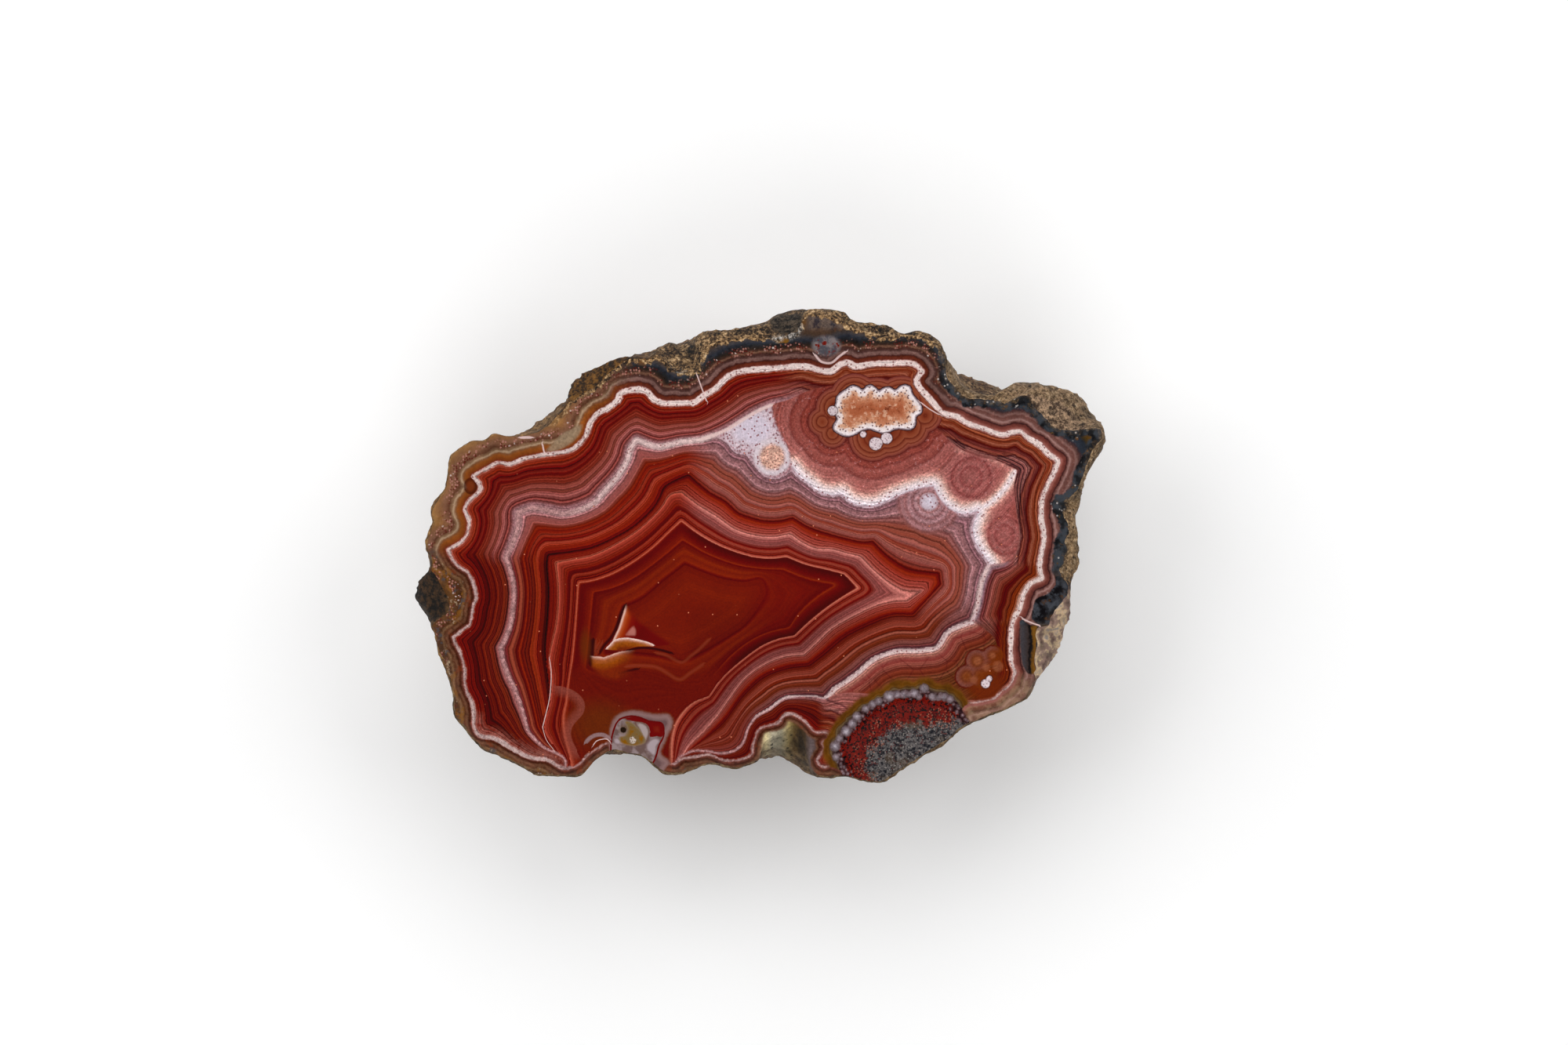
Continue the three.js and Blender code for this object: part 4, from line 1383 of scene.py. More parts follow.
# Across the notch in the lower rim, from left to right.
NOTCH_ROCK = [
    (962, 104, 76, 60), (970, 120, 92, 70), (977, 200, 182, 138), (985, 160, 150, 128),
    (996, 142, 134, 112), (1006, 150, 130, 84), (1013, 92, 70, 36), (1020, 52, 36, 14),
    (1027, 62, 48, 34), (1034, 94, 80, 80), (1046, 80, 62, 58),
]
# Across the lower dark pocket, from left to right.
LOWER_POCKET = [
    (1301, 72, 60, 60), (1305, 62, 58, 62), (1311, 54, 44, 42), (1313, 18, 12, 12), (1315, 20, 14, 10),
    (1316.5, 88, 56, 12), (1320, 112, 72, 16), (1323, 70, 48, 20),
]
# Kinds of rock in turn: their zone, how far down they reach, dark and pale colour.
ROCK_ZONES = [
    ("rock_west", 100, (104, 68, 34), (168, 126, 74)),
    ("rock_skin", 60, (44, 28, 12), (128, 86, 36)),
    ("rock_low", 80, (84, 60, 36), (150, 122, 86)),
    ("rock_bump", 90, (14, 8, 3), (74, 50, 28)),
    ("rock_gravel", 70, (70, 52, 40), (190, 156, 124)),
    ("rock_dark", 60, (10, 9, 9), (92, 78, 64)),
]


class Face(Graph):
    """The graph of the polished face, with the measures that its parts share."""

    spot_dimensions = "2D"

    def __init__(self):
        super().__init__("agate_polished")
        self.shiver = self.centred(self.noise(2.6, 1, seed=3), 1.8)
        self.shift = self.add(self.centred(self.noise(9, 2), 2.4), self.shiver)
        self.band = self.loose("band")
        self.inner = self.loose("inner")
        self.out = self.times(self.band, -1.0)
        self.depth = self.crisp("depth", 0.012)
        self.grain = self.noise(2.2, 3, 0.75, seed=7)
        self.crystals = self.cells(2.4, seed=4)
        self.in_granular = self.rise(self.field("granular"), -1.0, 1.0)
        self.moss = self.loose("moss", 1.3)
        self.cap = self.loose("cap")

    def loose(self, name, share=1.0):
        """A field whose lines waver with the soft shift."""
        return self.wavering(name, self.shift, share)

    def crisp(self, name, share=1.0):
        """A field whose lines only shiver."""
        return self.wavering(name, self.shiver, share)

    def wavering(self, name, wave, share):
        value = self.field(name)
        if share != 1.0:
            wave = self.times(wave, share)
        return self.add(value, wave)

    def mark(self, name, full, gone):
        """1 on thin marks, out to a number of half widths, and 0 where they have ended."""
        across = self.rise(self.magnitude(self.field(name)), gone, full)
        return self.times(across, self.rise(self.field(name + "_near"), 6.5, 3.0))


def outer_bands(g):
    """Red bands between the two white bands."""
    share = g.crisp("outer_share", 0.008)
    colour = g.mix(g.field("outer_side_share"), g.ramp(share, OUTER_TOP), g.ramp(share, OUTER_SIDE))
    colour = g.mix(g.field("outer_east_share"), colour, g.ramp(g.band, OUTER_EAST))
    colour = g.mix(g.field("outer_right_share"), colour, g.ramp(share, OUTER_RIGHT))
    colour = g.mix(g.field("outer_low_east_share"), colour, g.ramp(g.band, OUTER_LOW_EAST))
    colour = g.shade(colour, g.times(g.field("outer_side_share"), 0.1))
    haze = g.times(g.field("haze"), g.rise(g.noise(7, 3, 0.7, seed=17), 0.3, 0.6), 0.8)
    return g.paint(haze, colour, 146, 88, 78)


def inner_bands(g):
    """Red bands inside the inner white band, down to the plain heart."""
    east = g.field("east_share")
    deep = g.mix(g.field("side_share"), g.ramp(g.depth, DEEP_TOP), g.ramp(g.depth, DEEP_SIDE))
    deep = g.mix(east, deep, g.ramp(g.depth, DEEP_EAST))
    deep = g.mix(g.field("deep_low"), deep, g.ramp(g.depth, DEEP_LOW))
    heart = g.mix(east, g.ramp(g.depth, HEART_WEST), g.ramp(g.depth, HEART_EAST))
    colour = g.mix(g.rise(g.depth, 1.99, 2.01), deep, heart)
    colour = g.mix(g.rise(g.depth, 3.99, 4.01), colour, g.ramp(g.depth, CORE))
    colour = g.paint(g.times(g.field("heart_east"), 0.8), colour, 103, 18, 2)
    salmon = g.times(g.rise(g.depth, 1.7, 1.95), g.rise(g.depth, 2.5, 2.2), 0.14)
    low_shade = g.times(g.field("deep_low"), g.add(salmon, 0.18))
    colour = g.shade(colour, g.add(low_shade, g.times(g.field("side_share"), 0.08)))
    colour = g.paint(g.field("lower_field"), colour, 98, 21, 3)
    colour = g.paint(g.times(g.field("foot_dark"), g.rise(g.depth, 0.9, 0.5), 0.7), colour, 106, 36, 26)
    return g.paint(g.times(g.field("brown_glow"), 0.6), colour, 94, 44, 8)


def granular_zone(g):
    """Pink grains with eyes, round the brown halo."""
    low_front = g.times(g.inner, -1.0)
    rim = g.times(g.loose("eye_rim"), 1.7)
    top = g.add(g.times(g.loose("eye_top"), 1.6), 12.0)
    low_right = g.field("low_right")
    front = g.least(low_front, g.add(g.least(rim, top), 4.0))
    halo = g.crisp("halo")
    colour = g.ramp(front, EYE_FRONT)
    arcs = g.times(g.rise(front, 14, 28), g.rise(halo, -75, -25), 0.75)
    colour = g.mix(arcs, colour, g.ramp(g.times(halo, -1.0), HALO_OUTSIDE))
    for name, size in (("pink_eye", 34), ("lower_pink_eye", 30)):
        eye = g.loose(name)
        share = g.times(g.rise(eye, size, size - 7), g.rise(front, 9, 16))
        colour = g.mix(share, colour, g.ramp(eye, PINK_EYE_RINGS))
    colour = g.vary(colour, g.noise(2.4, 3, 0.75, seed=61), 2.0)
    dabs = g.times(g.rise(g.noise(3.4, 2, 0.6, seed=62), 0.6, 0.68), g.rise(front, 12, 18), 0.35)
    colour = g.paint(dabs, colour, 190, 134, 132)
    low = g.ramp(low_front, LOW_FRONT)
    cracked = g.times(g.cracks(25, 1.6, seed=94), g.rise(low_front, 6, 16), 0.45)
    return g.mix(low_right, colour, g.paint(cracked, low, 80, 20, 22))


def orb_cluster(g, under):
    """Translucent brown orbs beside the mossy jasper."""
    orbs = g.loose("orbs", 0.8)
    colour = g.paint(g.field("orb_bed"), under, 100, 36, 8)
    faded = g.paint(g.field("orb_fade"), g.ramp(orbs, ORB_RINGS), 108, 44, 12)
    colour = g.mix(g.rise(orbs, -3, 0), colour, faded)
    inner = g.crisp("inner_orbs")
    return g.paint(g.times(g.rise(inner, -1, 3.5), 0.55), colour, 148, 84, 56)


def white_eyes(g, under):
    """The pale zone under the vein, with its lilac and its peach eye."""
    lilac = g.loose("lilac_eyes")
    ring = g.loose("peach_eyes")
    pale = g.two_tone(lilac, -30, -4, (158, 108, 112), (204, 184, 192))
    pale = g.vary(pale, g.noise(3.0, 3, 0.7, seed=27), 1.4)
    stipple = g.times(g.dots(4.4, 1.3, seed=18), g.rise(lilac, 2, -10), 0.75)
    pale = g.paint(stipple, pale, 128, 66, 76)
    pale = g.paint(g.rise(lilac, -5, 5), pale, 202, 188, 201)
    pale = g.paint(g.rise(ring, -10, -4), pale, 208, 192, 198)
    peach = g.vary(srgb(206, 160, 142), g.noise(4, 3, 0.7, seed=19), 2.2)
    peach = g.paint(g.times(g.dots(4.6, 1.1, seed=20), 0.6), peach, 124, 62, 60)
    pale = g.mix(g.rise(ring, -3, 4), pale, peach)
    pale = g.scale_colour(pale, 0.95)
    return g.mix(g.rise(g.loose("eyes"), -3.5, 2.0), under, pale)


def white_bands(g, under):
    """The inner white line and the wider outer one, with the blush beside them."""
    off_inner = g.less(g.magnitude(g.inner), g.field("inner_half"))
    line = g.times(g.rise(off_inner, 2.2, -2.0), g.field("line_room"))
    pale = g.mix(g.field("inner_white_share"), srgb(166, 116, 115), srgb(207, 177, 174))
    pale = g.vary(pale, g.noise(2.4, 3, 0.7, seed=29), 0.9)
    colour = g.mix(line, under, pale)

    warm = g.times(g.field("glow"), g.rise(g.band, 10, 2), 0.7)
    colour = g.paint(warm, colour, 158, 68, 48)
    wide = g.centred(g.noise(22, 3, 0.6, seed=74), 6.0)
    uneven = g.stirred(wide, g.noise(5, 3, 0.7, seed=11), 3.5)
    ragged = g.less(g.add(g.field("band_half"), uneven), 0.3)
    off_outer = g.less(g.magnitude(g.band), ragged)
    blush = g.times(g.rise(off_outer, 3.5, 0.0), g.field("band_white"), 0.5)
    colour = g.paint(blush, colour, 168, 104, 90)
    pale = g.mix(g.field("band_white"), srgb(144, 104, 101), srgb(220, 199, 194))
    pale = g.vary(pale, g.noise(5, 3, 0.65, seed=5), 0.9)
    return g.mix(g.rise(off_outer, 1.9, -1.5), colour, pale)


def spheres(g, under):
    """The brown halo, the white rimmed cluster in it and the single white lobes."""
    halo = g.crisp("halo")
    room = g.times(g.rise(halo, -0.5, 0.5), g.rise(g.band, 6, 9))
    colour = g.mix(room, under, g.ramp(halo, HALO_INSIDE))
    ragged = g.centred(g.noise(6, 3, 0.75, seed=12), 18.0)
    island = g.crisp("island")
    deep_island = g.add(island, g.times(ragged, g.rise(island, 2, 6)))
    cluster = g.ramp(deep_island, ISLAND_INSIDE)
    inner_share = g.rise(deep_island, 7, 12)
    patchy = g.noise(8, 4, 0.7, seed=13)
    cluster = g.paint(g.times(inner_share, g.rise(patchy, 0.52, 0.64), 0.7), cluster, 212, 168, 140)
    cluster = g.paint(g.times(inner_share, g.rise(patchy, 0.42, 0.34), 0.8), cluster, 122, 56, 36)
    spots = g.times(g.dots(5.4, 1.1, seed=6), g.rise(island, 0.5, 2), g.rise(island, 15, 9))
    cluster = g.paint(g.times(spots, 0.85), cluster, 84, 40, 44)
    blotches = g.times(g.rise(g.noise(6, 3, 0.7, seed=34), 0.6, 0.66), g.rise(island, 10, 16), 0.8)
    cluster = g.paint(blotches, cluster, 96, 40, 26)
    cluster = g.vary(cluster, g.noise(2.4, 3, 0.7, seed=42), 0.9)
    colour = g.mix(g.rise(island, -2.2, -1.4), colour, cluster)
    lobes = g.crisp("white_lobes", 0.7)
    lobe_colour = g.vary(srgb(206, 188, 192), g.noise(3, 3, 0.7, seed=43), 1.2)
    lobe_colour = g.paint(g.times(g.dots(3.6, 0.9, seed=44), 0.6), lobe_colour, 110, 70, 80)
    colour = g.paint(g.times(g.rise(lobes, -2.2, -0.8), 0.7), colour, 60, 26, 26)
    return g.mix(g.rise(lobes, -0.8, 0.8), colour, lobe_colour)


def mossy_jasper(g, under):
    """Red and black jasper inside a rim of grey beads and an ochre edge."""
    ticks = g.noise(3.0, 3, 0.7, seed=21)
    jasper = g.two_tone(ticks, 0.505, 0.555, (104, 21, 7), (16, 11, 14))
    jasper = g.vary(jasper, g.noise(6, 3, 0.7, seed=45), 1.6)
    core = g.stirred(g.field("moss_core"), g.noise(12, 4, 0.7, seed=25), 50.0)
    ash = g.two_tone(g.noise(3.2, 4, 0.75, seed=23), 0.42, 0.6, (20, 20, 26), (98, 93, 92))
    ash = g.paint(g.times(g.rise(g.noise(30, 2, seed=46), 0.5, 0.62), 0.35), ash, 96, 78, 58)
    ash = g.paint(g.times(g.rise(g.noise(4, 3, 0.7, seed=24), 0.59, 0.65), 0.8), ash, 92, 32, 26)
    ash = g.paint(g.times(g.dots(7, 0.9, seed=26), 0.55), ash, 150, 142, 136)
    jasper = g.mix(g.rise(core, -4, 4), jasper, ash)
    clumps = g.rise(g.noise(14, 2, seed=95), 0.46, 0.58)
    border = g.times(g.dots(3.8, 0.9, seed=22), g.rise(core, -26, -8), g.rise(core, 14, 4))
    jasper = g.paint(g.times(border, g.times(clumps, 0.55)), jasper, 170, 112, 92)
    lumpy = g.stirred(g.moss, g.noise(17, 2, 0.5, seed=92), 15)
    ochre = g.vary(g.ramp(lumpy, MOSS_HALO), g.noise(12, 3, 0.6, seed=93), 1.6)
    colour = g.mix(g.rise(g.moss, 3, 9), ochre, jasper)
    beads = g.add(g.less(g.field("beads"), 0.8), g.shift)
    rim = g.vary(g.ramp(beads, MOSS_BEAD_RINGS), g.noise(5, 3, 0.7, seed=28), 2.6)
    bulbs = g.vary(g.ramp(g.spots(5.6, seed=72), MOSS_BULBS), g.noise(5, 3, 0.7, seed=73), 4.0)
    bulb_room = g.stirred(g.moss, g.noise(6, 3, 0.7, seed=77), 26)
    colour = g.mix(g.times(g.rise(g.moss, -2, 1), g.rise(bulb_room, 12, 7)), colour, bulbs)
    colour = g.mix(g.times(g.rise(beads, -1.2, 0.8), 0.8), colour, rim)
    return g.mix(g.rise(lumpy, -18, -10), under, colour)


def capped_inclusion(g, under):
    """Grey chalcedony cap over a red ring, with an ochre blob, a lobe and a small pit."""
    ring = g.loose("ring", 0.5)
    colour = g.mix(g.rise(g.cap, -3.5, 1.5), under, g.ramp(g.cap, CAP_RIM))
    inside = g.two_tone(g.noise(10, 3, seed=15), 0.4, 0.6, (100, 78, 74), (138, 120, 120))
    lobe = g.crisp("cap_lobe", 0.5)
    inside = g.paint(g.rise(lobe, -1.5, 0), inside, 104, 76, 66)
    inside = g.mix(g.rise(lobe, 0, 3), inside, srgb(158, 142, 140))
    low_lobe = g.loose("low_lobe", 0.5)
    pale_lobe = g.two_tone(low_lobe, 1, 4, (122, 100, 100), (160, 144, 148))
    inside = g.mix(g.rise(low_lobe, -1.0, 2.5), inside, pale_lobe)
    blob = g.stirred(g.field("ochre_blob"), g.noise(8, 2, seed=16), 3.0)
    ochre = g.two_tone(g.noise(9, 3, 0.6, seed=47), 0.42, 0.58, (126, 80, 14), (112, 90, 56))
    ochre = g.paint(g.times(g.rise(blob, 3, 0), 0.6), ochre, 134, 116, 96)
    inside = g.mix(g.rise(blob, -1.0, 1.5), inside, ochre)
    grains = g.rise(g.noise(3.2, 3, 0.8, seed=48), 0.42, 0.56)
    room = g.rise(g.field("crystals"), 5.5, 3.5)
    inside = g.mix(room, inside, g.mix(grains, srgb(96, 66, 40), srgb(196, 182, 170)))
    inside = g.paint(g.times(g.rise(g.field("pit"), 8, 4), 0.5), inside, 104, 78, 50)
    inside = g.paint(g.rise(g.loose("pit"), 4.8, 3.2), inside, 34, 22, 12)
    fill = g.loose("red_fill", 0.5)
    inside = g.paint(g.rise(fill, -0.8, 0.6), inside, 104, 14, 8)
    inside = g.paint(g.times(g.rise(fill, 3, 8), 0.7), inside, 120, 34, 24)
    colour = g.mix(g.rise(ring, -0.5, 0.5), colour, inside)
    colour = g.paint(g.rise(g.magnitude(ring), 1.6, 0.7), colour, 96, 8, 6)
    arch = g.times(g.mark("grey_arch", 0.4, 1.1), 0.7)
    return g.mix(arch, colour, g.vary(srgb(148, 122, 124), g.grain, 1.2))


def flame(g, under):
    """The bright edged wings in the lower left of the heart."""
    colour = g.paint(g.times(g.mark("dark_marks", 0.2, 1.5), 0.85), under, 32, 4, 2)
    colour = g.paint(g.times(g.field("amber_strip"), 0.6), colour, 96, 46, 8)
    leaf_edge = g.loose("leaf_edge", 0.5)
    leaf = g.times(g.rise(g.field("leaf"), -0.8, 0.4), g.rise(leaf_edge, -0.5, 0.5))
    leaf = g.times(leaf, g.rise(g.field("leaf_end"), 0, 9))
    colour = g.mix(leaf, colour, g.ramp(leaf_edge, LEAF_GLOW))
    colour = g.paint(g.times(g.rise(g.field("tuft"), -1.5, 2.5), 0.85), colour, 176, 108, 98)
    for name, glow, border in (("arch", ARCH_GLOW, 0.4), ("fan", FAN_GLOW, 8.0)):
        reached = g.loose(name + "_edge", 0.7)
        wing = g.vary(g.ramp(reached, glow), g.noise(3, 3, 0.7, seed=49), 1.2)
        share = g.times(g.rise(g.field(name), -0.6, border), g.rise(reached, -0.6, 0.6))
        if name == "fan":
            share = g.times(share, g.field("fan_fade"))
        colour = g.mix(share, colour, wing)
    return colour


def small_marks(g, under):
    """Veins, the soft lines of the heart and the pinkish lobe beside it."""
    lobe = g.field("lobe")
    lobe_share = g.times(g.rise(lobe, -1.2, 0.8), g.rise(g.field("lobe_near"), 17, 2), 0.7)
    colour = g.mix(lobe_share, under, g.vary(srgb(132, 66, 56), g.grain, 1.4))
    colour = g.paint(g.times(g.mark("faint_marks", 0.0, 2.6), 0.32), colour, 152, 68, 50)
    pale = g.vary(srgb(212, 182, 178), g.grain, 0.8)
    return g.mix(g.times(g.mark("pale_marks", 0.4, 1.5), 0.9), colour, pale)


def crystal_knob(g):
    """Spiky grey crystals with black gaps."""
    spikes = g.rise(g.noise(3.4, 3, 0.8, seed=63), 0.44, 0.62)
    return g.mix(spikes, srgb(18, 15, 14), srgb(204, 196, 188))


def blue_glass(g):
    """Blue-black glass with a few amber spots and white crystals."""
    glass = g.two_tone(g.noise(12, 3, 0.6, seed=67), 0.4, 0.6, (20, 20, 22), (54, 58, 64))
    glass = g.paint(g.rise(g.noise(7, 3, 0.7, seed=68), 0.57, 0.66), glass, 82, 58, 34)
    crystals = g.times(g.dots(9, 1.2, seed=69), g.rise(g.noise(20, 1, seed=79), 0.5, 0.56), 0.7)
    return g.paint(crystals, glass, 180, 172, 168)


def rind_bands(g, out):
    """The rind's layers: their lines, and how unevenly they are coloured."""
    colour = g.mix(g.field("rind_west"), g.ramp(out, RIND_TOP), g.ramp(out, RIND_WEST))
    colour = g.mix(g.field("rind_low"), colour, g.ramp(out, RIND_LOW))
    colour = g.mix(g.field("rind_east"), colour, g.ramp(out, RIND_EAST))
    uneven = g.add(g.times(g.field("crusty"), 1.2), g.times(g.field("rind_low"), 1.6))
    uneven = g.add(1.0, uneven)
    colour = g.vary(colour, g.noise(4, 4, 0.75, seed=31), uneven)
    return g.vary(colour, g.noise(20, 3, seed=32), 1.1)


def rind_stains(g, out, colour):
    """Tan, ochre, slate and rusty stains over the rind's layers."""
    tan = g.two_tone(g.noise(11, 3, 0.6, seed=78), 0.42, 0.58, (112, 80, 60), (156, 126, 98))
    colour = g.mix(g.times(g.field("tan_rind"), g.rise(out, 3, 6), 0.5), colour, tan)
    top = g.rise(g.field("band"), -62, -48)
    ochre = g.rise(g.noise(26, 3, 0.6, seed=37), 0.58, 0.66)
    colour = g.paint(g.times(ochre, g.rise(out, 28, 36), top, 0.7), colour, 112, 70, 22)
    amber_patch = g.stirred(g.field("amber_patch"), g.noise(7, 2, seed=85), 1.5)
    colour = g.paint(g.rise(amber_patch, 1.1, 0.7), colour, 112, 74, 14)
    leaning = g.stirred(g.field("across"), g.noise(9, 3, 0.7, seed=91), 30)
    streaks = g.threads(leaning, 5, seed=86)
    slate = g.two_tone(streaks, 0.36, 0.66, (38, 42, 54), (104, 90, 82))
    colour = g.mix(g.times(g.field("slate_streaks"), 0.8), colour, slate)
    rusty = g.times(g.field("rind_low"), g.rise(out, 2, 4), g.rise(out, 16, 9), 0.8)
    rusty = g.times(rusty, g.rise(g.noise(13, 3, 0.6, seed=88), 0.56, 0.68), 0.7)
    colour = g.paint(rusty, colour, 116, 48, 24)
    slate_bits = g.times(g.field("rind_low"), g.rise(out, 10, 14))
    slate_bits = g.times(slate_bits, g.rise(g.noise(13, 3, 0.7, seed=89), 0.56, 0.62))
    colour = g.paint(g.times(slate_bits, 0.8), colour, 70, 66, 68)
    mottled = g.times(g.field("rind_low"), g.rise(out, 9, 14), 0.6)
    amber = g.times(mottled, g.rise(g.noise(15, 3, 0.6, seed=75), 0.54, 0.62))
    colour = g.paint(amber, colour, 128, 80, 26)
    cream = g.times(mottled, g.rise(g.noise(12, 3, 0.7, seed=76), 0.6, 0.68))
    return g.paint(cream, colour, 178, 152, 124)


def rind_grains(g, out, colour):
    """The belt of red and pale grains in the rind."""
    belt = g.times(g.rise(out, 17, 20), g.rise(out, 32, 27))
    thinned = g.rest(g.times(g.field("rind_east"), 0.75))
    dots = g.times(g.dots(3.4, 1.25, seed=14), belt)
    grains = g.times(dots, g.rise(g.noise(10, 2, seed=33), 0.46, 0.54), thinned)
    tone = g.cells(3.4, seed=14)
    grain = g.two_tone(tone, 0.45, 0.55, (84, 26, 22), (168, 114, 102))
    grain = g.paint(g.rise(tone, 0.93, 0.96), grain, 206, 186, 180)
    return g.mix(g.times(grains, 0.8), colour, grain)


def rind_features(g, colour):
    """The grey wedge, the brown spot, the grey bubble and the dark pockets of the rind."""
    wedge = g.vary(srgb(140, 118, 94), g.noise(3, 3, 0.75, seed=82), 2.0)
    colour = g.mix(g.times(g.rise(g.field("wedge"), -1.5, 3), 0.85), colour, wedge)
    colour = g.paint(g.times(g.rise(g.field("brown_spot"), 9.5, 7.5), 0.8), colour, 60, 16, 8)
    colour = g.paint(g.times(g.rise(g.field("brown_spot"), 7.5, 3), 0.9), colour, 112, 48, 22)
    bubble = g.loose("bubble", 0.05)
    grey = g.two_tone(g.noise(9, 3, 0.6, seed=38), 0.4, 0.6, (74, 72, 78), (122, 112, 112))
    grey = g.paint(g.rise(g.noise(9, 3, 0.6, seed=81), 0.54, 0.62), grey, 104, 26, 18)
    colour = g.mix(g.rise(bubble, 1.15, 0.7), colour, grey)
    pocket = g.loose("pockets")
    glass = g.two_tone(g.noise(12, 3, 0.6, seed=39), 0.4, 0.6, (20, 18, 20), (62, 64, 70))
    amber = g.rise(g.noise(15, 3, 0.6, seed=50), 0.52, 0.62)
    glass = g.paint(g.times(amber, 0.8), glass, 78, 48, 18)
    glass = g.paint(g.rise(g.noise(5, 3, 0.7, seed=56), 0.6, 0.66), glass, 8, 8, 12)
    across = g.stirred(g.field("across"), g.noise(10, 3, 0.6, seed=87), 12)
    lower = g.vary(g.ramp(across, LOWER_POCKET), g.grain, 0.8)
    glass = g.mix(g.field("lower_pocket"), glass, lower)
    return g.mix(g.rise(pocket, -1.0, 1.0), colour, glass)


def rind_edge(g, out, colour):
    """Glass, crust, knobs and the notch, where the rind meets the rock."""
    glass_edge = g.stirred(g.field("edge"), g.noise(14, 3, 0.6, seed=65), 20)
    glassy = g.times(g.rise(glass_edge, 12, 8), g.field("glassy"))
    colour = g.mix(glassy, colour, blue_glass(g))
    grit = g.stirred(g.noise(3.4, 4, 0.75, seed=35), g.noise(15, 2, seed=66), 0.35)
    crust_edge = g.stirred(g.field("edge"), g.noise(8, 3, seed=57), 20)
    crusty = g.times(g.rise(crust_edge, 5, 3), g.field("crusty"))
    # The crust along the face's edge takes the same ramp, with its painted shade and painted
    # highlights.
    colour = g.mix(crusty, colour, g.ramp(grit, ROCK_CRUST_SHADE_AND_HIGHLIGHT))
    colour = g.mix(g.field("knobs"), colour, crystal_knob(g))
    notch = g.vary(g.ramp(g.field("across"), NOTCH_ROCK), g.noise(4, 4, 0.75, seed=84), 2.4)
    return g.mix(g.times(g.field("notch"), g.rise(out, 7, 11)), colour, notch)


def rind_layers(g, under):
    """Brown, grey and blue-black layers between the outer white band and the rock."""
    scallop = g.centred(g.noise(11, 3, 0.6, seed=36), 7.0)
    out = g.add(g.out, g.times(scallop, g.rise(g.out, 5, 12)))
    colour = rind_bands(g, out)
    colour = rind_stains(g, out, colour)
    colour = rind_grains(g, out, colour)
    colour = rind_features(g, colour)
    colour = rind_edge(g, out, colour)
    room = g.times(g.rise(g.moss, 2, -2), g.rise(g.cap, 2, -2))
    share = g.times(g.rise(g.less(g.out, g.field("band_half")), -0.5, 1.0), room)
    return g.mix(share, under, colour), share


def calm_share(g):
    """1 where the stone is plain: in the heart, the eyes, the orbs and the granular zone."""
    in_eyes = g.most(g.rise(g.field("eyes"), -3, 0), g.rise(g.field("ringed_eye"), 46, 36))
    even = g.less(0.75, g.times(g.field("low_right"), 0.55))
    granular_calm = g.times(g.in_granular, g.rise(g.inner, 0, -6), even)
    calm = g.most(g.rise(g.depth, 2.9, 3.3), g.most(granular_calm, in_eyes))
    orb_calm = g.most(g.field("orb_bed"), g.rise(g.field("orbs"), -3, 0))
    return g.most(calm, g.times(orb_calm, 0.95))


def add_threads(g, colour):
    """Fine threads along the bands, thin dark lines among them and black slits."""
    threads = g.crisp("threads")
    calm = calm_share(g)
    strength = g.less(2.4, g.times(calm, 2.1))
    colour = g.vary(colour, g.threads(threads, 2.1), strength)
    colour = g.vary(colour, g.threads(threads, 6, seed=40), g.times(strength, 0.35))
    dark_lines = g.rise(g.threads(threads, 4, seed=90), 0.6, 0.66)
    dark_share = g.add(g.times(strength, 0.14), g.times(g.field("side_share"), 0.25))
    dark_lines = g.times(dark_lines, dark_share, g.rise(calm, 0.6, 0.2))
    colour = g.paint(dark_lines, colour, 40, 4, 4)
    slits = g.red_of(g.ramp(g.crisp("outer_share", 0.006), SLIT_LINES))
    slits = g.times(slits, g.field("slits"), g.rise(g.noise(18, 2, seed=58), 0.4, 0.48))
    slits = g.times(slits, g.rest(g.in_granular))
    return g.paint(g.times(slits, 0.9), colour, 30, 16, 22)


def add_grains(g, colour):
    """Grains, coarser in the pale bands, with pinholes in them and sparse bright specks."""
    parts = g.node("SeparateColor", mode="HSV")
    g.put(parts.inputs[0], colour)
    paleness = g.rise(parts.outputs[1], 0.9, 0.5)
    very_pale = g.rise(parts.outputs[1], 0.45, 0.28)
    grainy = g.less(paleness, g.times(very_pale, 0.85))
    colour = g.vary(colour, g.crystals, g.add(0.1, g.times(grainy, 0.5)))
    colour = g.vary(colour, g.grain, g.add(0.7, g.times(grainy, 1.6)))
    holes = g.times(g.dots(6.5, 1.15, seed=3), very_pale, g.rise(g.noise(9, 1, seed=9), 0.42, 0.5))
    colour = g.paint(g.times(holes, 0.8), colour, 116, 44, 46)
    specks = g.times(g.dots(38, 0.8, seed=8), g.rise(g.noise(60, 1, seed=2), 0.5, 0.6))
    return g.paint(specks, colour, 206, 120, 88)


def ringed_eye(g, under):
    eye = g.loose("ringed_eye")
    room = g.times(g.rise(eye, 44, 36), g.rise(g.inner, -1, 2))
    return g.mix(room, under, g.ramp(eye, RINGED_EYE_RINGS))


def polished_material():
    g = Face()
    colour = g.mix(g.in_granular, outer_bands(g), granular_zone(g))
    colour = g.mix(g.rise(g.inner, -0.8, 0.8), colour, inner_bands(g))
    for layer in (white_eyes, orb_cluster, ringed_eye, white_bands, add_threads, add_grains):
        colour = layer(g, colour)
    for layer in (spheres, flame, mossy_jasper, capped_inclusion):
        colour = layer(g, colour)
    colour, rind_share = rind_layers(g, colour)
    colour = small_marks(g, colour)
    colour = g.vary(colour, g.noise(90, 2, seed=41), 0.25)
    colour = g.deepen(g.scale_colour(colour, 0.97), POLISH_VEIL)
    near_edge = g.times(rind_share, g.rise(g.field("edge"), 14, 4))
    porous = g.most(g.rise(g.moss, 12, 18), near_edge)
    roughness = g.add(0.1, g.times(porous, 0.25))
    return g.finish(colour, roughness, gloss=0.25)


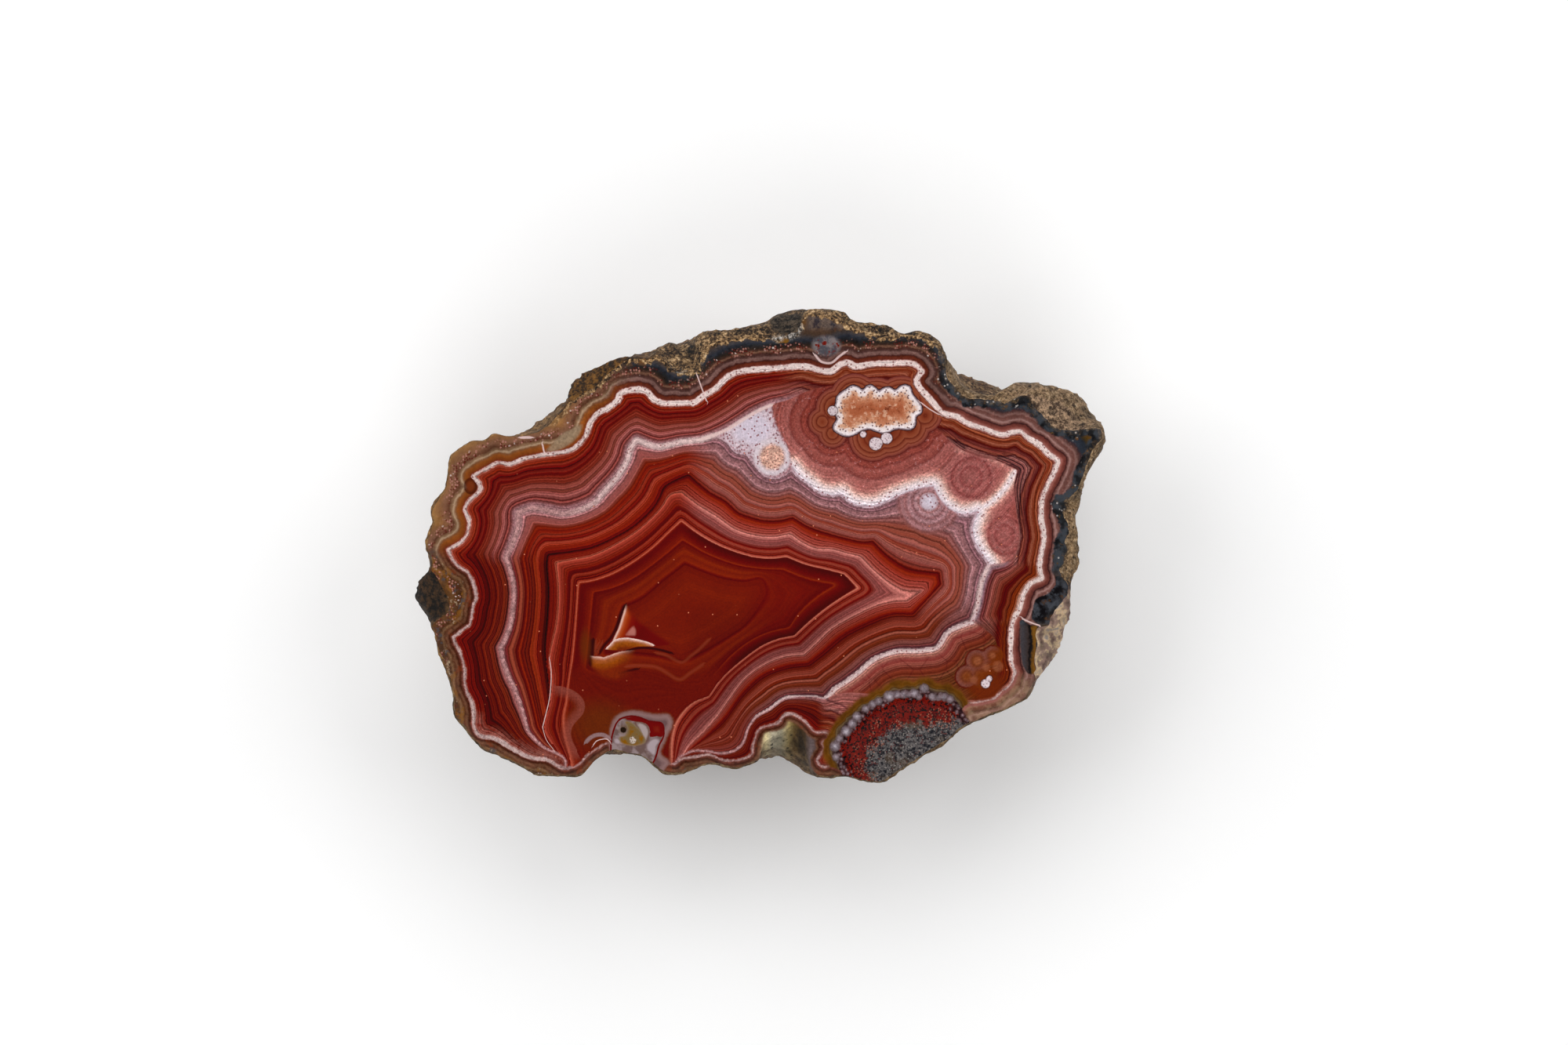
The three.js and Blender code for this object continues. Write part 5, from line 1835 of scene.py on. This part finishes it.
def rock_kinds(g, drop):
    """Crust under the rim and brown shell below it, with the other kinds of rock in their zones."""
    grit = g.noise(4, 5, 0.75, seed=52)
    clumps = g.noise(16, 2, seed=70)
    # The crust's colour follows the grit that also raises the bump: dark grains are partly painted
    # shade, pale ones partly painted highlights.
    crust = g.ramp(g.stirred(grit, clumps, 0.35), ROCK_CRUST_SHADE_AND_HIGHLIGHT)
    shell = g.two_tone(g.noise(60, 3, seed=51), 0.4, 0.6, (108, 68, 46), (148, 114, 84))
    shell = g.vary(shell, grit, 1.8)
    shell = g.paint(g.rise(g.noise(12, 3, seed=55), 0.6, 0.7), shell, 78, 52, 38)
    colour = g.mix(g.rise(drop, 60, 200), crust, shell)
    for name, reach_down, dark, pale in ROCK_ZONES:
        kind = g.two_tone(g.noise(7, 4, 0.75, seed=reach_down), 0.42, 0.6, dark, pale)
        share = g.times(g.field(name), g.rise(drop, reach_down + 40, reach_down - 20))
        colour = g.mix(share, colour, kind)
    return colour, grit, clumps


def glassy_rock(g, drop, fine, colour):
    """Blue-black glass beside the polished face in the upper right, and golden rock outside it."""
    room = g.stirred(g.field("rock_room"), g.noise(9, 2, seed=71), 14)
    glass = g.times(g.field("rock_glassy"), g.rise(room, 15, 19), g.rise(drop, 60, 30))
    golden = g.times(g.field("rock_glassy"), g.rise(room, 19, 15), g.rise(drop, 90, 50), 0.6)
    gold = g.vary(g.ramp(g.noise(3.6, 4, 0.75, seed=80), ROCK_GOLD), fine, 0.8)
    colour = g.mix(golden, colour, gold)
    glass = g.times(glass, g.rest(g.field("rock_gravel")))
    return g.mix(glass, colour, blue_glass(g))


def rough_material():
    g = Graph("agate_rough")
    fine = g.noise(2.6, 3, 0.75, seed=53)
    drop = g.stirred(g.field("rock_drop"), g.noise(40, 3, 0.6, seed=83), 260)
    colour, grit, clumps = rock_kinds(g, drop)
    # Lighter where the fine noise raises the bump and darker where it sinks: partly the rock's own
    # tone, partly painted highlight and shade.
    colour = g.vary(colour, fine, 2.0)
    notch = g.vary(g.ramp(g.field("across"), NOTCH_ROCK), grit, 2.4)
    colour = g.mix(g.times(g.field("rock_notch"), g.rise(drop, 90, 10)), colour, notch)
    colour = glassy_rock(g, drop, fine, colour)
    # The knobs' field ends at the polished face, so only the rock's first edge takes crystals.
    knob_room = g.times(g.field("knobs"), g.rise(g.field("rock_drop"), 70, 35))
    knob_room = g.times(knob_room, g.rise(clumps, 0.4, 0.5), 0.85)
    colour = g.mix(knob_room, colour, crystal_knob(g))
    # Painted shade: near-black dots stand for the shade in small pits that the mesh doesn't have.
    pit_shade = g.times(g.dots(9, 2.2, seed=59), g.rise(g.noise(14, 2, seed=60), 0.42, 0.54), 0.8)
    colour = g.paint(pit_shade, colour, 22, 16, 14)
    pearl = g.vary(g.ramp(g.noise(13, 3, 0.6, seed=64), ROCK_PEARL), fine, 0.6)
    colour = g.mix(g.times(g.field("rock_pearl"), g.rise(drop, 150, 90)), colour, pearl)
    # Painted shade: the rock is darkened in the hollows of its gravel and lightened a little elsewhere.
    hollow = g.rise(g.field("rock_hollow_shade"), 0.35, 0.85)
    colour = g.scale_colour(colour, g.less(1.05, g.times(hollow, 0.75)))
    # The bump rises with the same grit and fine noises that lighten and darken the colour above, so
    # those tones are partly painted highlights and painted shade.
    height = g.add(g.times(grit, 2.0), fine)
    return g.finish(colour, roughness=0.72, gloss=0.2, height=height, strength=0.8)


def floor_material():
    return Graph("floor_pale").finish(srgb(250, 250, 250), roughness=0.8, gloss=0.3)


# Stage

def link(thing):
    bpy.context.scene.collection.objects.link(thing)
    return thing


def add_floor():
    mesh = bpy.data.meshes.new("floor")
    corners = [(x * FLOOR_HALF, y * FLOOR_HALF, 0) for x, y in ((-1, -1), (1, -1), (1, 1), (-1, 1))]
    mesh.from_pydata(corners, [], [(0, 1, 2, 3)])
    mesh.materials.append(floor_material())
    floor = link(bpy.data.objects.new("floor", mesh))


def add_camera():
    """Straight down on the polished face, as wide as the photograph's view."""
    data = bpy.data.cameras.new("camera")
    data.lens = LENS
    data.sensor_width = SENSOR_WIDTH
    data.clip_end = 10
    away = VIEW_SIZE[0] * SQUARE * LENS / SENSOR_WIDTH
    middle = sheet_to_row((VIEW_SIZE[0] / 2, VIEW_SIZE[1] / 2))
    camera = link(bpy.data.objects.new("camera", data))
    camera.location = (middle[0], middle[1], TOP + away)
    bpy.context.scene.camera = camera


def add_lamp(name, turn, power):
    """A soft lamp above and beside the stone, turned towards it."""
    data = bpy.data.lights.new(name, "AREA")
    data.shape = "DISK"
    data.size = LAMP_SIZE
    data.energy = power
    lamp = link(bpy.data.objects.new(name, data))
    turn = math.radians(turn)
    lamp.location = (LAMP_REACH * math.cos(turn), LAMP_REACH * math.sin(turn), LAMP_REACH)
    lamp.rotation_euler = (-lamp.location).to_track_quat("-Z", "Y").to_euler()


def add_lights():
    """Soft lamps all round, so that the stone casts no hard shadow and nothing glares."""
    for name, turn, power in LAMPS:
        add_lamp(name, turn, power)
    world = bpy.data.worlds.new("studio")
    world.use_nodes = True
    background = world.node_tree.nodes["Background"]
    background.inputs["Color"].default_value = (1, 1, 1, 1)
    background.inputs["Strength"].default_value = SKY_STRENGTH
    bpy.context.scene.world = world
    bpy.context.scene.view_settings.view_transform = "Standard"


def add_stone():
    mesh, points, face_count, hollow = stone_mesh()
    mesh.materials.append(polished_material())
    mesh.materials.append(rough_material())
    add_pattern(mesh, points, face_count, hollow)
    stone = link(bpy.data.objects.new("agate_half_stone", mesh))
    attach(stone, "root")
    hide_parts("agate_half")


add_camera()
add_floor()
add_lights()
add_stone()
